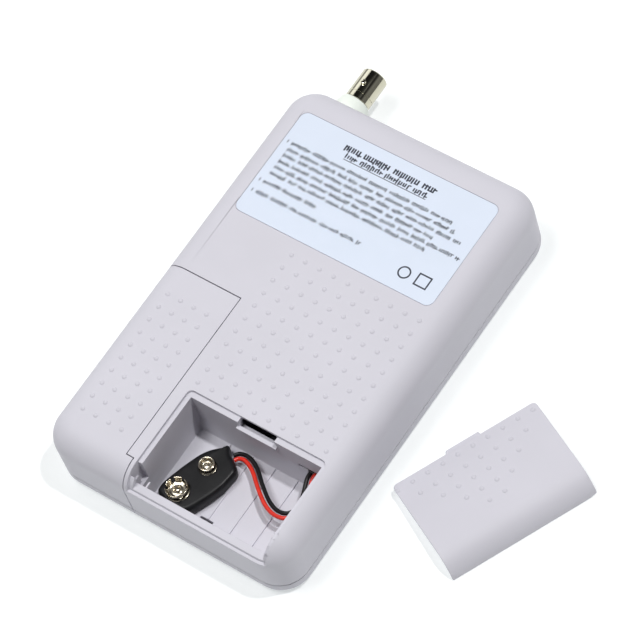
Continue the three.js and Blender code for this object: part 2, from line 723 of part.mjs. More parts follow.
function mesh(name, geometry, material) {
  const piece = new THREE.Mesh(geometry, new THREE.MeshStandardMaterial(MATERIALS[material]));
  piece.name = name;
  return piece;
}

const tester = new THREE.Group();

function place(name, shape, material, x = 0, y = 0, z = 0) {
  const geometry = shape.isBufferGeometry ? shape : geometryOf(shape);
  const piece = mesh(name, geometry, material);
  piece.position.set(x, y, z);
  tester.add(piece);
  return piece;
}

place('rear_shell', rearShell(), 'caseShell');
place('front_shell', frontShell(), 'caseShell');
place('back_label', backLabel(), 'label');
place('front_overlay', frontOverlay(), 'overlay');
place('main_board', mainBoard(), 'board');
place('test_button', testButton(), 'buttonRed', BUTTON.x, BUTTON.y);
place('switch_housing', switchHousing(), 'blackPlastic', BUTTON.x, BUTTON.y);
place('switch_plunger', post(0, 0, 3.4, 4.8, 1.7, 1.7, 16), 'blackPlastic', BUTTON.x, BUTTON.y);

const ledNames = ['led_connected', 'led_short', 'led_crossed', 'led_open', 'led_low_battery'];
ledNames.forEach((name, index) => {
  place(name, led(), index === 0 ? 'greenLens' : 'redLens', LED_ROW.x[index], LED_ROW.y);
});

place('bnc_base', bncBase(), 'whitePlastic', BNC.x, 0, BNC.z);
place('bnc_shell', bncShell(), 'nickel', BNC.x, 0, BNC.z);
place('bnc_insulator', bncInsulator(), 'whitePlastic', BNC.x, 0, BNC.z);
place('bnc_contact', bncContact(), 'gold', BNC.x, 0, BNC.z);

place('main_rj45_housing', rj45Housing(MAIN_RJ45_Y), 'blackPlastic');
place('main_rj45_contacts', rj45Contacts(MAIN_RJ45_Y), 'gold');
place('main_usb_a_shell', usbShell(MAIN_USB_Y, USB_A, 0.5), 'tinned');
place('main_usb_a_tongue', usbATongue(MAIN_USB_Y), 'whitePlastic');

place('counter_chip', box(-5, 5, -2, 2, 0, 1.6), 'blackPlastic', 12, 36, BOARD_TOP + GAP);
place('timer_chip', box(-2.5, 2.5, -2, 2, 0, 1.6), 'blackPlastic', -4, 36, BOARD_TOP + GAP);
place('supply_capacitor', post(0, 0, 0, 7, 3.2), 'blackPlastic', 26, 24, BOARD_TOP + GAP);

CASE_SCREWS.forEach(({ x, y }, index) => {
  place(`case_screw_${index + 1}`, screw(2.6, 1.8, 1.3, 21), 'steel', x, y, CASE.height - 3.3);
});
BOARD_SCREWS.forEach(({ x, y }, index) => {
  place(`board_screw_${index + 1}`, screw(2.4, 1.5, 1.2, 5), 'steel', x, y, BOARD_TOP + GAP);
});

place('remote_rear_shell', remoteRearShell(), 'caseShell');
place('remote_front_shell', remoteFrontShell(), 'caseShell');
place('remote_board', remoteBoard(), 'board');
place('remote_rj45_housing', rj45Housing(REMOTE_RJ45_Y), 'blackPlastic');
place('remote_rj45_contacts', rj45Contacts(REMOTE_RJ45_Y), 'gold');
place('remote_usb_b_shell', usbShell(REMOTE_USB_Y, USB_B, 0.6), 'tinned');
place('remote_usb_b_tongue', usbBTongue(REMOTE_USB_Y), 'whitePlastic');
const remoteScrew = place(
  'remote_screw', screw(2.6, 1.6, 1.2, 15), 'steel', REMOTE_SCREW.x, REMOTE_SCREW.y, 2.5,
);
remoteScrew.rotation.x = Math.PI;

tester.add(laidDoor());
tester.add(snapAssembly());

place('lead_red', lead(LEAD_ROUTE, LEAD.spacing / 2, 24), 'redPvc');
place('lead_black', lead(LEAD_ROUTE, -LEAD.spacing / 2, 24), 'blackVinyl');
place('lead_red_inner', lead(INNER_ROUTE, LEAD.spacing / 2, 14), 'redPvc');
place('lead_black_inner', lead(INNER_ROUTE, -LEAD.spacing / 2, 14), 'blackVinyl');

export default tester;
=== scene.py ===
import math
import random
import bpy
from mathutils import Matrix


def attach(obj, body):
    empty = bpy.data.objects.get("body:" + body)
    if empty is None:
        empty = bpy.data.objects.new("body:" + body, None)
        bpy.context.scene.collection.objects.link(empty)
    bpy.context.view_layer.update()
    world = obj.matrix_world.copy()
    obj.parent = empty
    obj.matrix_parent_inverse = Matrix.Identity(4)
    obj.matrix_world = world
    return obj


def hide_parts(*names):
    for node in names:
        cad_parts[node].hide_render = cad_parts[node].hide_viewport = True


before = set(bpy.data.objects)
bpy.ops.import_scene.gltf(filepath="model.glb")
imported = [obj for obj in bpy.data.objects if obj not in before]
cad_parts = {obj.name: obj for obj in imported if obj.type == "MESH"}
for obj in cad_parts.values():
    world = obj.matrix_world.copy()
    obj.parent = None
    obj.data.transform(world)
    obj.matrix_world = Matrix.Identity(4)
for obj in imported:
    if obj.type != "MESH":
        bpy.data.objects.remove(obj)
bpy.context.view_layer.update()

from types import SimpleNamespace

import bmesh
import bpy
from mathutils import Matrix, Vector

# Solid pieces are made in millimetres, and settle() brings them to metres. The leads are curves
# and are made in metres. +X is to the right when you look at the back, +Y towards the coaxial
# jack, +Z out of the back. x0, y0 and z0 are the low sides of a thing, x1, y1 and z1 its high ones.
MM = 0.001
FAR = 200.0  # past everything, for cuts that run right through
OVER = 1.0  # how far a cut or a join runs past the face where it ends

CASE = SimpleNamespace(width=100.0, length=159.0, height=28.0, corner=11.0, back_edge=9.0, front_edge=3.0)
WALL = 2.2
PARTING = 5.5  # height of the line between the front and back halves
GAP = 0.3
SINK = 0.5  # how deep a rib, post or dot is rooted in the wall that it stands on
SHELL_EDGE = 0.22  # rounding of the shells' small edges

# The remote module's corner of the case, and the rail that its groove runs on.
BAY = SimpleNamespace(x=-17.9, y=-3.6, foot_x=-14.9, foot_y=-70.4)
RAIL = SimpleNamespace(z=14.0, stem=2.0, head=4.4, neck=1.3, depth=2.4, gap=0.35, y0=-66.0, y1=-10.0)
RAIL_CORE = SimpleNamespace(deep=2.6, half=4.6)

# The battery box: its floor and walls, and what stands on them or is cut through them.
BATTERY = SimpleNamespace(x0=-11.6, x1=41.6, y0=-75.3, y1=-42.2, floor=8.0, wall=2.0, foot_top=21.5)
LEAN = SimpleNamespace(z=13.0, head=1.8, left=0.8)  # how far the foot of a wall slopes out, from z down
RIB = SimpleNamespace(count=4, x=1.5, pitch=9.25, half=0.35, tall=0.5)
GUSSET = SimpleNamespace(offset=3.2, thick=0.7, deep=2.3)
FLOOR_SLOT = SimpleNamespace(x0=7.8, x1=13.0, y0=-71.4, y1=-70.6, deep=4.0)
NOTCH = SimpleNamespace(x0=34.0, x1=41.6, z0=8.0, z1=18.8, slit=3.5, slit_tall=1.6, behind=5.0)

# The door, its seat in the back, its tongue at the head and its catch at the foot.
SEAT = SimpleNamespace(x0=-13.3, x1=42.8, y1=-40.1, z0=20.5, depth=1.1, ledge_end=-70.5, pocket=17.0,
                       corner=2.0, margin=2.0)
TAB = SimpleNamespace(x0=8.4, x1=21.6, z0=24.2, z1=25.5, tip=-37.6, side=0.8, lip=1.1, lip_tall=1.0,
                      corner=1.0, root=1.0, web=1.6)
PIT = SimpleNamespace(y0=0.5, y1=4.0, z0=22.4, z1=26.8)  # y from the head wall of the battery box
CATCH = SimpleNamespace(x0=12.5, x1=17.5, z0=21.0, z1=22.4, outer=0.3, inner=0.7)
COVER = SimpleNamespace(thick=1.8, rim=0.8, rim_wide=3.0, corner=1.7, edge=0.3)
COVER_PLACE = SimpleNamespace(x=66.1, y=-2.9, z=0.12, yaw=64.0)  # where it lies on the table

BOARD = SimpleNamespace(bottom=6.0, top=7.6)
JACK = SimpleNamespace(x=-33.6, z=14.0, radius=4.85, base=84.4, tip=97.0, hole=6.9, hole_reach=6.0)
LABEL = SimpleNamespace(x0=-40.8, x1=40.4, y0=24.2, y1=67.8, corner=2.8, thick=0.25, recess=0.35,
                        lift=0.04)
FILM = SimpleNamespace(half=38.0, y0=26.0, y1=66.0, corner=4.0, thick=0.4, recess=0.85, gap=0.2)
KEY = SimpleNamespace(x=18.0, y=13.0, radius=6.0, gap=0.35)
LAMPS = SimpleNamespace(columns=(-28.0, -14.0, 0.0, 14.0, 28.0), y=54.0, radius=1.5)

RJ45 = SimpleNamespace(width=16.0, height=13.3, main_y=51.0, remote_y=-22.0)
USB_A = SimpleNamespace(width=13.1, height=5.8, y=22.0)
USB_B = SimpleNamespace(width=12.0, height=11.0, y=-50.0)
SOCKET_CUT = 4.0  # how far a socket's hole runs on past the wall

CASE_SCREWS = ((37.0, 61.0), (-22.0, 33.0))
BOARD_SCREWS = ((-12.0, 9.0), (40.0, 9.0))
REMOTE_SCREW = (-27.0, -36.0)
BACK_POST = SimpleNamespace(radius=3.6, bore=1.7, head=3.0, head_deep=3.6, clear=0.8)
FRONT_POST = SimpleNamespace(radius=3.4, bore=1.6, bore_end=2.6, clear=0.4)
BOARD_POST = SimpleNamespace(radius=3.0, bore=1.5, bore_end=2.4)
REMOTE_BACK_POST = SimpleNamespace(radius=3.2, bore=1.5, bore_end=20.0, clear=0.8)
REMOTE_FRONT_POST = SimpleNamespace(radius=4.4, bore=1.6, head=3.1, head_deep=3.0)
FRONT_ROOT = 1.0  # height, inside the front wall, at which the front's posts begin
HOLLOW_FOOT = 2.0  # height, inside the front wall, just below the hollow
FRONT_CUT = 4.0  # height, past the front wall, up to which holes are cut in it

DOT = SimpleNamespace(radius=0.9, height=0.4, steps=4, sides=16)
DOT_COLUMNS = [-12.2 + 5.82 * i for i in range(10)]
DOT_ROWS = [18.4 - 5.53 * j for j in range(11)]
REMOTE_DOT_COLUMNS = (-40.9, -35.5, -30.0, -24.7)
REMOTE_DOT_ROWS = [-14.4 - 5.5 * j for j in range(10)]
COVER_DOT_ROWS = [-43.0 - 5.35 * j for j in range(5)]

SNAP = SimpleNamespace(x=0.19, y=-61.85, z=8.9, heading=72.2, thick=4.4, plate=5.1, pocket=5.3)
CROWN = SimpleNamespace(x=-7.0, lip=4.15, hole=4.1)
STUD = SimpleNamespace(x=5.7, lip=3.15, hole=3.1)
LEAD = SimpleNamespace(radius=0.75, spacing=1.8)

CAMERA = SimpleNamespace(azimuth=52.345, elevation=59.113, roll=-20.538, distance=1.29485,
                         target=(-0.002672, 0.012743, 0.0), sensor=36.0, lens=213.75)
FLOOR = SimpleNamespace(half=3.0, drop=0.0001, glow=0.46)


# ---------------------------------------------------------------- camera

def set_camera():
    azimuth, elevation, roll = (
        math.radians(angle) for angle in (CAMERA.azimuth, CAMERA.elevation, CAMERA.roll))
    back = Vector((
        math.sin(azimuth) * math.cos(elevation),
        -math.cos(azimuth) * math.cos(elevation),
        math.sin(elevation),
    ))
    level = Vector((math.cos(azimuth), math.sin(azimuth), 0.0))
    above = back.cross(level)
    right = level * math.cos(roll) + above * math.sin(roll)
    up = above * math.cos(roll) - level * math.sin(roll)
    data = bpy.data.cameras.new("camera")
    data.sensor_width = CAMERA.sensor
    data.lens = CAMERA.lens
    data.clip_start, data.clip_end = 0.05, 20.0
    camera = bpy.data.objects.new("camera", data)
    turn = Matrix((right, up, back)).transposed().to_4x4()
    camera.matrix_world = Matrix.Translation(Vector(CAMERA.target) + back * CAMERA.distance) @ turn
    bpy.context.scene.collection.objects.link(camera)
    bpy.context.scene.camera = camera


set_camera()


# ---------------------------------------------------------------- materials

def scaled(colour, factor):
    return tuple(min(1.0, c * factor) for c in colour[:3]) + (1.0,)


def material(name, light, dark, roughness=(0.45, 0.6), metallic=0.0, patch=60.0,
             grain=5000.0, grain_depth=0.00002, grain_strength=0.3, streak=None,
             specular=0.5, transmission=0.0):
    """Colour drifts between light and dark in soft patches; grain is the fine surface relief."""
    m = bpy.data.materials.new(name)
    m.use_nodes = True
    nodes, links = m.node_tree.nodes, m.node_tree.links
    shader = nodes["Principled BSDF"]
    shader.inputs["Metallic"].default_value = metallic
    shader.inputs["Specular IOR Level"].default_value = specular
    shader.inputs["Transmission Weight"].default_value = transmission
    place = nodes.new("ShaderNodeTexCoord")
    source = place.outputs["Object"]
    if streak:
        stretch = nodes.new("ShaderNodeMapping")
        stretch.inputs["Scale"].default_value = streak
        links.new(source, stretch.inputs["Vector"])
        source = stretch.outputs["Vector"]
    drift = nodes.new("ShaderNodeTexNoise")
    drift.inputs["Scale"].default_value = patch
    drift.inputs["Detail"].default_value = 4.0
    links.new(source, drift.inputs["Vector"])
    ramp = nodes.new("ShaderNodeValToRGB")
    ramp.color_ramp.elements[0].position = 0.3
    ramp.color_ramp.elements[1].position = 0.7
    ramp.color_ramp.elements[0].color = dark
    ramp.color_ramp.elements[1].color = light
    links.new(drift.outputs["Fac"], ramp.inputs["Fac"])
    links.new(ramp.outputs["Color"], shader.inputs["Base Color"])
    fine = nodes.new("ShaderNodeTexNoise")
    fine.inputs["Scale"].default_value = grain
    fine.inputs["Detail"].default_value = 2.0
    links.new(source, fine.inputs["Vector"])
    spread = nodes.new("ShaderNodeMapRange")
    spread.inputs["To Min"].default_value = roughness[0]
    spread.inputs["To Max"].default_value = roughness[1]
    links.new(fine.outputs["Fac"], spread.inputs["Value"])
    links.new(spread.outputs["Result"], shader.inputs["Roughness"])
    bump = nodes.new("ShaderNodeBump")
    bump.inputs["Strength"].default_value = grain_strength
    bump.inputs["Distance"].default_value = grain_depth
    links.new(fine.outputs["Fac"], bump.inputs["Height"])
    links.new(bump.outputs["Normal"], shader.inputs["Normal"])
    return m


CASE_TONE = (0.580, 0.570, 0.624, 1.0)
MATERIALS = {
    "case_plastic": material("moulded_shell", CASE_TONE, scaled(CASE_TONE, 0.965), (0.5, 0.68),
                             patch=35, grain=3500, grain_depth=0.00003, specular=0.35),
    "label_paper": material("coated_label", (0.64, 0.70, 0.81, 1), (0.625, 0.685, 0.79, 1),
                            (0.35, 0.5), patch=90, grain=7000, grain_depth=0.00001),
    "label_ink": material("printing_ink", (0.03, 0.035, 0.06, 1), (0.015, 0.018, 0.03, 1),
                          (0.4, 0.6), patch=900, grain=9000),
    "overlay_film": material("printed_overlay", (0.10, 0.20, 0.38, 1), (0.085, 0.175, 0.34, 1),
                             (0.25, 0.4), patch=120, grain=6000, grain_depth=0.00001),
    "circuit_board": material("green_laminate", (0.02, 0.15, 0.05, 1), (0.015, 0.11, 0.035, 1),
                              (0.3, 0.55), patch=400, grain=2500),
    "button_plastic": material("button_rubber", (0.42, 0.03, 0.02, 1), (0.36, 0.025, 0.018, 1),
                               (0.45, 0.65), patch=200, grain=4000),
    "black_plastic": material("black_moulding", (0.013, 0.013, 0.015, 1), (0.008, 0.008, 0.01, 1),
                              (0.35, 0.55), patch=200, grain=4000),
    "white_plastic": material("white_insulator", (0.80, 0.84, 0.78, 1), (0.74, 0.79, 0.73, 1),
                              (0.3, 0.45), patch=160, grain=4000),
    "green_lens": material("green_lens", (0.04, 0.40, 0.07, 1), (0.03, 0.33, 0.05, 1),
                           (0.08, 0.16), patch=500, grain=3000, transmission=0.35),
    "red_lens": material("red_lens", (0.60, 0.04, 0.03, 1), (0.50, 0.03, 0.02, 1),
                         (0.08, 0.16), patch=500, grain=3000, transmission=0.35),
    "nickel": material("nickel_plate", (0.60, 0.58, 0.47, 1), (0.52, 0.50, 0.39, 1),
                       (0.06, 0.14), metallic=1.0, patch=260, grain=2500, grain_strength=0.12,
                       streak=(1.0, 0.06, 1.0)),
    "gold_contact": material("gold_plate", (0.80, 0.58, 0.24, 1), (0.70, 0.50, 0.2, 1),
                             (0.2, 0.32), metallic=1.0, patch=400, grain=4000),
    "tinned_steel": material("tinned_steel", (0.60, 0.61, 0.62, 1), (0.50, 0.51, 0.52, 1),
                             (0.25, 0.42), metallic=1.0, patch=300, grain=3000),
    "snap_metal": material("snap_metal", (0.70, 0.64, 0.52, 1), (0.46, 0.41, 0.32, 1),
                           (0.14, 0.30), metallic=1.0, patch=900, grain=2600, grain_strength=0.2),
    "screw_steel": material("screw_steel", (0.40, 0.40, 0.41, 1), (0.30, 0.30, 0.31, 1),
                            (0.3, 0.48), metallic=1.0, patch=600, grain=3000),
    "black_vinyl": material("black_vinyl", (0.010, 0.010, 0.011, 1), (0.006, 0.006, 0.007, 1),
                            (0.30, 0.46), patch=240, grain=1800, grain_depth=0.00005,
                            grain_strength=0.5, specular=0.22),
    "red_pvc": material("red_sleeving", (0.72, 0.030, 0.015, 1), (0.60, 0.022, 0.010, 1),
                        (0.25, 0.38), patch=300, grain=2500),
}


# ---------------------------------------------------------------- mesh tools, in millimetres

def new_mesh(name, points, faces):
    mesh = bpy.data.meshes.new(name)
    mesh.from_pydata([tuple(p) for p in points], [], faces)
    made = bmesh.new()
    made.from_mesh(mesh)
    bmesh.ops.recalc_face_normals(made, faces=made.faces)
    made.to_mesh(mesh)
    made.free()
    obj = bpy.data.objects.new(name, mesh)
    bpy.context.scene.collection.objects.link(obj)
    return obj


def loft(rings, name="loft"):
    """A closed body through rings of the same number of points, with a flat cap at each end."""
    count = len(rings[0])
    points = [p for ring in rings for p in ring]
    faces = []
    top = (len(rings) - 1) * count
    for low in range(0, top, count):
        high = low + count
        for i in range(count):
            j = (i + 1) % count
            faces.append((low + i, low + j, high + j, high + i))
    faces.append(tuple(range(count))[::-1])
    faces.append(tuple(range(top, top + count)))
    return new_mesh(name, points, faces)


def prism(outline, z0, z1, name="prism"):
    return loft([[(x, y, z0) for x, y in outline], [(x, y, z1) for x, y in outline]], name)


def block(x0, x1, y0, y1, z0, z1):
    return prism([(x0, y0), (x1, y0), (x1, y1), (x0, y1)], z0, z1, "block")


def circle(x, y, radius, sides):
    turn = 2 * math.pi / sides
    return [(x + radius * math.cos(i * turn), y + radius * math.sin(i * turn)) for i in range(sides)]


def post(x, y, z0, z1, radius, sides=48):
    return prism(circle(x, y, radius, sides), z0, z1, "post")


def lathe(profile, sides=48, name="lathe"):
    """Turned about Z from (radius, height) pairs; a radius of 0 closes an end."""
    made = bmesh.new()
    rings = []
    for radius, height in profile:
        if radius < 1e-6:
            rings.append([made.verts.new((0, 0, height))])
        else:
            rings.append([made.verts.new((x, y, height)) for x, y in circle(0, 0, radius, sides)])
    for low, high in zip(rings, rings[1:]):
        if len(low) == 1 and len(high) == 1:
            continue
        for i in range(sides):
            j = (i + 1) % sides
            corners = [low[i % len(low)], low[j % len(low)], high[j % len(high)], high[i % len(high)]]
            face = []
            for corner in corners:
                if corner not in face:
                    face.append(corner)
            made.faces.new(face)
    bmesh.ops.recalc_face_normals(made, faces=made.faces)
    mesh = bpy.data.meshes.new(name)
    made.to_mesh(mesh)
    made.free()
    obj = bpy.data.objects.new(name, mesh)
    bpy.context.scene.collection.objects.link(obj)
    return obj


def moved(obj, matrix):
    obj.data.transform(matrix)
    obj.data.update()
    return obj


def shift(obj, x, y, z):
    return moved(obj, Matrix.Translation((x, y, z)))


def merged(objects):
    """One object that holds all of these separate, closed bodies."""
    objects = list(objects)
    made = bmesh.new()
    for obj in objects:
        made.from_mesh(obj.data)
    made.to_mesh(objects[0].data)
    made.free()
    for obj in objects[1:]:
        remove(obj)
    return objects[0]


def remove(obj):
    mesh = obj.data
    bpy.data.objects.remove(obj)
    bpy.data.meshes.remove(mesh)


def bake_modifiers(obj):
    graph = bpy.context.evaluated_depsgraph_get()
    mesh = bpy.data.meshes.new_from_object(obj.evaluated_get(graph))
    old = obj.data
    obj.modifiers.clear()
    obj.data = mesh
    bpy.data.meshes.remove(old)
    return obj


def combine(obj, operation, *tools):
    for tool in tools:
        modifier = obj.modifiers.new("combine", "BOOLEAN")
        modifier.operation = operation
        modifier.solver = "MANIFOLD"
        modifier.object = tool
        bake_modifiers(obj)
        remove(tool)
    return obj


def cut(obj, *tools):
    return combine(obj, "DIFFERENCE", *tools)


def join(obj, *tools):
    return combine(obj, "UNION", *tools)


def common(obj, *tools):
    return combine(obj, "INTERSECT", *tools)


def soften(obj, width, limit=38, segments=2):
    """Rounds every edge sharper than limit degrees."""
    made = bmesh.new()
    made.from_mesh(obj.data)
    bmesh.ops.remove_doubles(made, verts=made.verts, dist=0.002)
    bmesh.ops.triangulate(made, faces=[f for f in made.faces if len(f.verts) > 4])
    made.to_mesh(obj.data)
    made.free()
    bevel = obj.modifiers.new("edges", "BEVEL")
    bevel.width = width
    bevel.segments = segments
    bevel.limit_method = "ANGLE"
    bevel.angle_limit = math.radians(limit)
    bevel.use_clamp_overlap = False
    bevel.loop_slide = True
    return bake_modifiers(obj)


def settle(obj, name, body, slot, replaces=(), smooth=35, paint=None):
    """Names a finished piece, brings a mesh to metres, shades it and fixes it to its body."""
    obj.name = name
    if obj.type == "MESH":
        obj.data.name = name
        obj.data.transform(Matrix.Scale(MM, 4))
        obj.data.shade_smooth()
        obj.data.set_sharp_from_angle(angle=math.radians(smooth))
        weighted = obj.modifiers.new("normals", "WEIGHTED_NORMAL")
        weighted.keep_sharp = True
        weighted.weight = 60
    obj.data.materials.clear()
    obj.data.materials.append(MATERIALS[paint or slot])
    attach(obj, body)
    if replaces:
        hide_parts(*replaces)
    return obj


# ---------------------------------------------------------------- leads

# Middle line of the pair of leads, from the notch in the battery box to the snap.
LEAD_ROUTE = [
    (36, -42.2, 16.6), (36.1, -44.4, 16.5), (37.2, -47.6, 16), (38.4, -51, 15.9),
    (38.9, -54.4, 16), (38.2, -57.4, 16), (35.9, -59.3, 15.8), (32.2, -59.5, 15.1),
    (28.05, -58, 14.2), (24.1, -55.5, 13.4), (20.4, -52.7, 12.8), (17, -49.9, 12.2),
    (13.8, -47.9, 11.9), (10.7, -46.9, 11.6), (8.2, -47.2, 11.2), (6.75, -48.6, 11),
]


def beside(route, offset):
    """The route moved sideways by offset, in plan."""
    line = []
    for i, (x, y, z) in enumerate(route):
        before, after = route[max(i - 1, 0)], route[min(i + 1, len(route) - 1)]
        run = Vector((after[0] - before[0], after[1] - before[1])).normalized()
        line.append(Vector((x - run.y * offset, y + run.x * offset, z)))
    return line


def smooth_line(points, steps):
    """Catmull-Rom line through the points."""
    line = []
    for i in range(len(points) - 1):
        a, b = points[max(i - 1, 0)], points[i]
        c, d = points[i + 1], points[min(i + 2, len(points) - 1)]
        for s in range(steps):
            t = s / steps
            line.append(0.5 * (2 * b + (c - a) * t + (2 * a - 5 * b + 4 * c - d) * t * t
                               + (3 * b - a - 3 * c + d) * t ** 3))
    line.append(points[-1])
    return line


def lead(name, route, offset, slot, node):
    """One lead beside the route; gives the piece, its start and its length, in metres."""
    line = [p * MM for p in smooth_line(beside(route, offset), steps=8)]
    curve = bpy.data.curves.new(name, "CURVE")
    curve.dimensions = "3D"
    curve.bevel_depth = LEAD.radius * MM
    curve.bevel_resolution = 5
    curve.use_fill_caps = True
    spline = curve.splines.new("POLY")
    spline.points.add(len(line) - 1)
    for point, place in zip(spline.points, line):
        point.co = (*place, 1.0)
    obj = bpy.data.objects.new(name, curve)
    bpy.context.scene.collection.objects.link(obj)
    spline.use_smooth = True
    settle(obj, name, "tester", slot, (node,))
    length = sum((b - a).length for a, b in zip(line, line[1:]))
    return obj, line[0], length


red_lead, red_exit, red_length = lead(
    "red_lead", LEAD_ROUTE, LEAD.spacing / 2, "red_pvc", "lead_red")
black_lead, black_exit, black_length = lead(
    "black_lead", LEAD_ROUTE, -LEAD.spacing / 2, "black_vinyl", "lead_black")


# ---------------------------------------------------------------- battery snap

def arc(x, y, radius, start, end, steps):
    turn = math.radians(end - start) / steps
    first = math.radians(start)
    return [(x + radius * math.cos(first + i * turn), y + radius * math.sin(first + i * turn))
            for i in range(steps + 1)]


def inwards(outline, distance):
    """The outline moved in by distance; it runs anticlockwise."""
    moved_in = []
    count = len(outline)
    for i in range(count):
        a, b, c = (Vector(outline[(i + k) % count]) for k in (-1, 0, 1))
        first, second = (b - a).normalized(), (c - b).normalized()
        normal = Vector((-first.y - second.y, first.x + second.x))
        normal.normalize()
        bend = max(0.5, normal.dot(Vector((-first.y, first.x))))
        moved_in.append(tuple(b + normal * distance / bend))
    return moved_in


def rounded(points, radius, steps=4):
    """A polygon with its corners rounded off."""
    outline = []
    count = len(points)
    for i in range(count):
        a, b, c = (Vector(points[(i + k) % count]) for k in (-1, 0, 1))
        to_a, to_c = (a - b), (c - b)
        reach = min(radius, to_a.length * 0.45, to_c.length * 0.45)
        start, end = b + to_a.normalized() * reach, b + to_c.normalized() * reach
        for s in range(steps + 1):
            t = s / steps
            outline.append(tuple(start * (1 - t) ** 2 + b * 2 * t * (1 - t) + end * t * t))
    return outline


# The sleeve seen from above, along X from the crown's end to the leads' end.
SLEEVE_OUTLINE = [
    (-8.8, 6.6), (-12.3, 5.4), (-12.7, 0.5), (-10.8, -7.4), (-7.6, -8.5), (-1.0, -9.3), (5.2, -9.4),
    (12.0, -8.1), (13.6, -4.6), (14.2, -0.9), (16.3, 2.3), (14.3, 2.9), (10.4, 5.2), (6.5, 6.3),
    (-0.4, 6.7),
]
# How far the sleeve's side is drawn in, and at what height, from underside to rolled top edge.
SLEEVE_SIDE = [(0.5, 0.0), (0.15, 0.2), (0.0, 0.6), (0.05, 2.6), (0.22, 3.4), (0.55, 3.95),
               (1.05, 4.28), (1.7, SNAP.thick)]


def capsule(radius):
    return arc(CROWN.x, 0, radius, 90, 270, 28) + arc(STUD.x, 0, radius, -90, 90, 28)


def snap_sleeve():
    """Vinyl bag: flat inside, rolled edges, a raised lip round the hole of each contact."""
    outline, top = rounded(SLEEVE_OUTLINE, 1.6, steps=5), SNAP.thick
    sleeve = loft([[(x, y, z) for x, y in inwards(outline, inset)] for inset, z in SLEEVE_SIDE], "sleeve")
    for contact in (CROWN, STUD):
        r = contact.lip
        lip = lathe([(r + 1.2, top - 0.2), (r + 0.75, top + 0.16), (r + 0.3, top + 0.3),
                     (r - 0.05, top + 0.18), (r - 0.1, top - 0.2), (r + 1.2, top - 0.2)],
                    sides=56, name="lip")
        join(sleeve, shift(lip, contact.x, 0, 0))
    cut(sleeve, prism(capsule(SNAP.pocket), top - 1.6, top - 0.45))
    for contact in (CROWN, STUD):
        cut(sleeve, post(contact.x, 0, top - 1, top + 3, contact.hole, sides=56))
    return soften(sleeve, width=0.12, limit=50)


def snap_plate():
    plate = prism(capsule(SNAP.plate), SNAP.thick - 1.55, SNAP.thick - 0.8)
    return soften(plate, width=0.15, limit=40)


def stud():
    return lathe([
        (0, 0.0), (3.5, 0.0), (3.6, 0.1), (3.6, 0.24), (3.4, 0.3), (2.75, 0.4), (2.42, 0.8),
        (2.3, 1.3), (2.36, 1.9), (2.66, 2.3), (2.85, 2.7), (2.86, 3.0), (2.7, 3.25), (2.45, 3.3),
        (2.22, 3.2), (2.05, 2.9), (1.95, 2.3), (1.75, 1.9), (1.3, 1.75), (0.75, 1.85), (0, 2.0),
    ], sides=56, name="stud")


def crown():
    cup = lathe([
        (0, 0.0), (4.0, 0.0), (4.05, 0.1), (4.0, 0.3), (3.7, 0.4), (3.5, 0.8), (3.55, 1.4),
        (3.85, 2.0), (4.05, 2.6), (4.0, 3.1), (3.85, 3.5), (3.55, 3.5), (3.6, 3.1), (3.65, 2.6),
        (3.4, 2.0), (3.1, 1.4), (2.95, 1.0), (2.3, 0.8), (1.3, 0.85), (0.9, 1.2), (0.5, 1.5), (0, 1.6),
    ], sides=60, name="crown")
    petals, half_slot, first_slot = 6, 0.62, 0.25
    for petal in range(petals):
        slot = block(2.4, 5.2, -half_slot, half_slot, 1.0, 4.6)
        cut(cup, moved(slot, Matrix.Rotation(petal * 2 * math.pi / petals + first_slot, 4, "Z")))
    return soften(cup, width=0.07, limit=40)


def build_snap():
    pose = Matrix.Translation((SNAP.x, SNAP.y, SNAP.z)) @ Matrix.Rotation(
        math.radians(SNAP.heading), 4, "Z")
    base = SNAP.thick - 0.8
    sleeve = settle(moved(snap_sleeve(), pose), "vinyl_sleeve", "tester", "black_vinyl",
                    ("snap_sleeve",))
    plate = settle(moved(snap_plate(), pose), "contact_plate", "tester", "black_plastic",
                   ("snap_contact_plate",))
    male = settle(moved(shift(stud(), STUD.x, 0, base), pose), "stud_contact", "tester",
                  "snap_metal", ("snap_stud",), smooth=50)
    female = settle(moved(shift(crown(), CROWN.x, 0, base), pose), "crown_contact", "tester",
                    "snap_metal", ("snap_crown",), smooth=50)
    return [sleeve, plate, male, female]


snap_pieces = build_snap()

for piece, start, length in ((red_lead, red_exit, red_length), (black_lead, black_exit, black_length)):
    tuple(start)


# ---------------------------------------------------------------- case shells

def outline_at(half_x, half_y, radius, steps=14):
    x, y = half_x - radius, half_y - radius
    return (arc(x, y, radius, 0, 90, steps) + arc(-x, y, radius, 90, 180, steps)
            + arc(-x, -y, radius, 180, 270, steps) + arc(x, -y, radius, 270, 360, steps))


def casing(inset, edge, face, towards, straight_end):
    """The case's outline, its face's edge rounded by edge; towards is 1 for the back, -1 for the front."""
    corner = max(CASE.corner - inset - edge, 0.4)
    levels = [(0.0, straight_end)]
    steps = 14
    for step in range(steps + 1):
        angle = math.pi / 2 * step / steps
        levels.append((edge * (1 - math.cos(angle)), face - towards * edge * (1 - math.sin(angle))))
    rings = []
    for pull, z in levels:
        half_x = CASE.width / 2 - inset - pull
        half_y = CASE.length / 2 - inset - pull
        rings.append([(x, y, z) for x, y in outline_at(half_x, half_y, corner + edge - pull)])
    return loft(rings, "casing")


def back_form(inset):
    return casing(inset, CASE.back_edge - inset, CASE.height - inset, 1, PARTING - OVER)


def front_form(inset):
    return casing(inset, max(CASE.front_edge - inset, 0.5), inset, -1, PARTING + OVER)


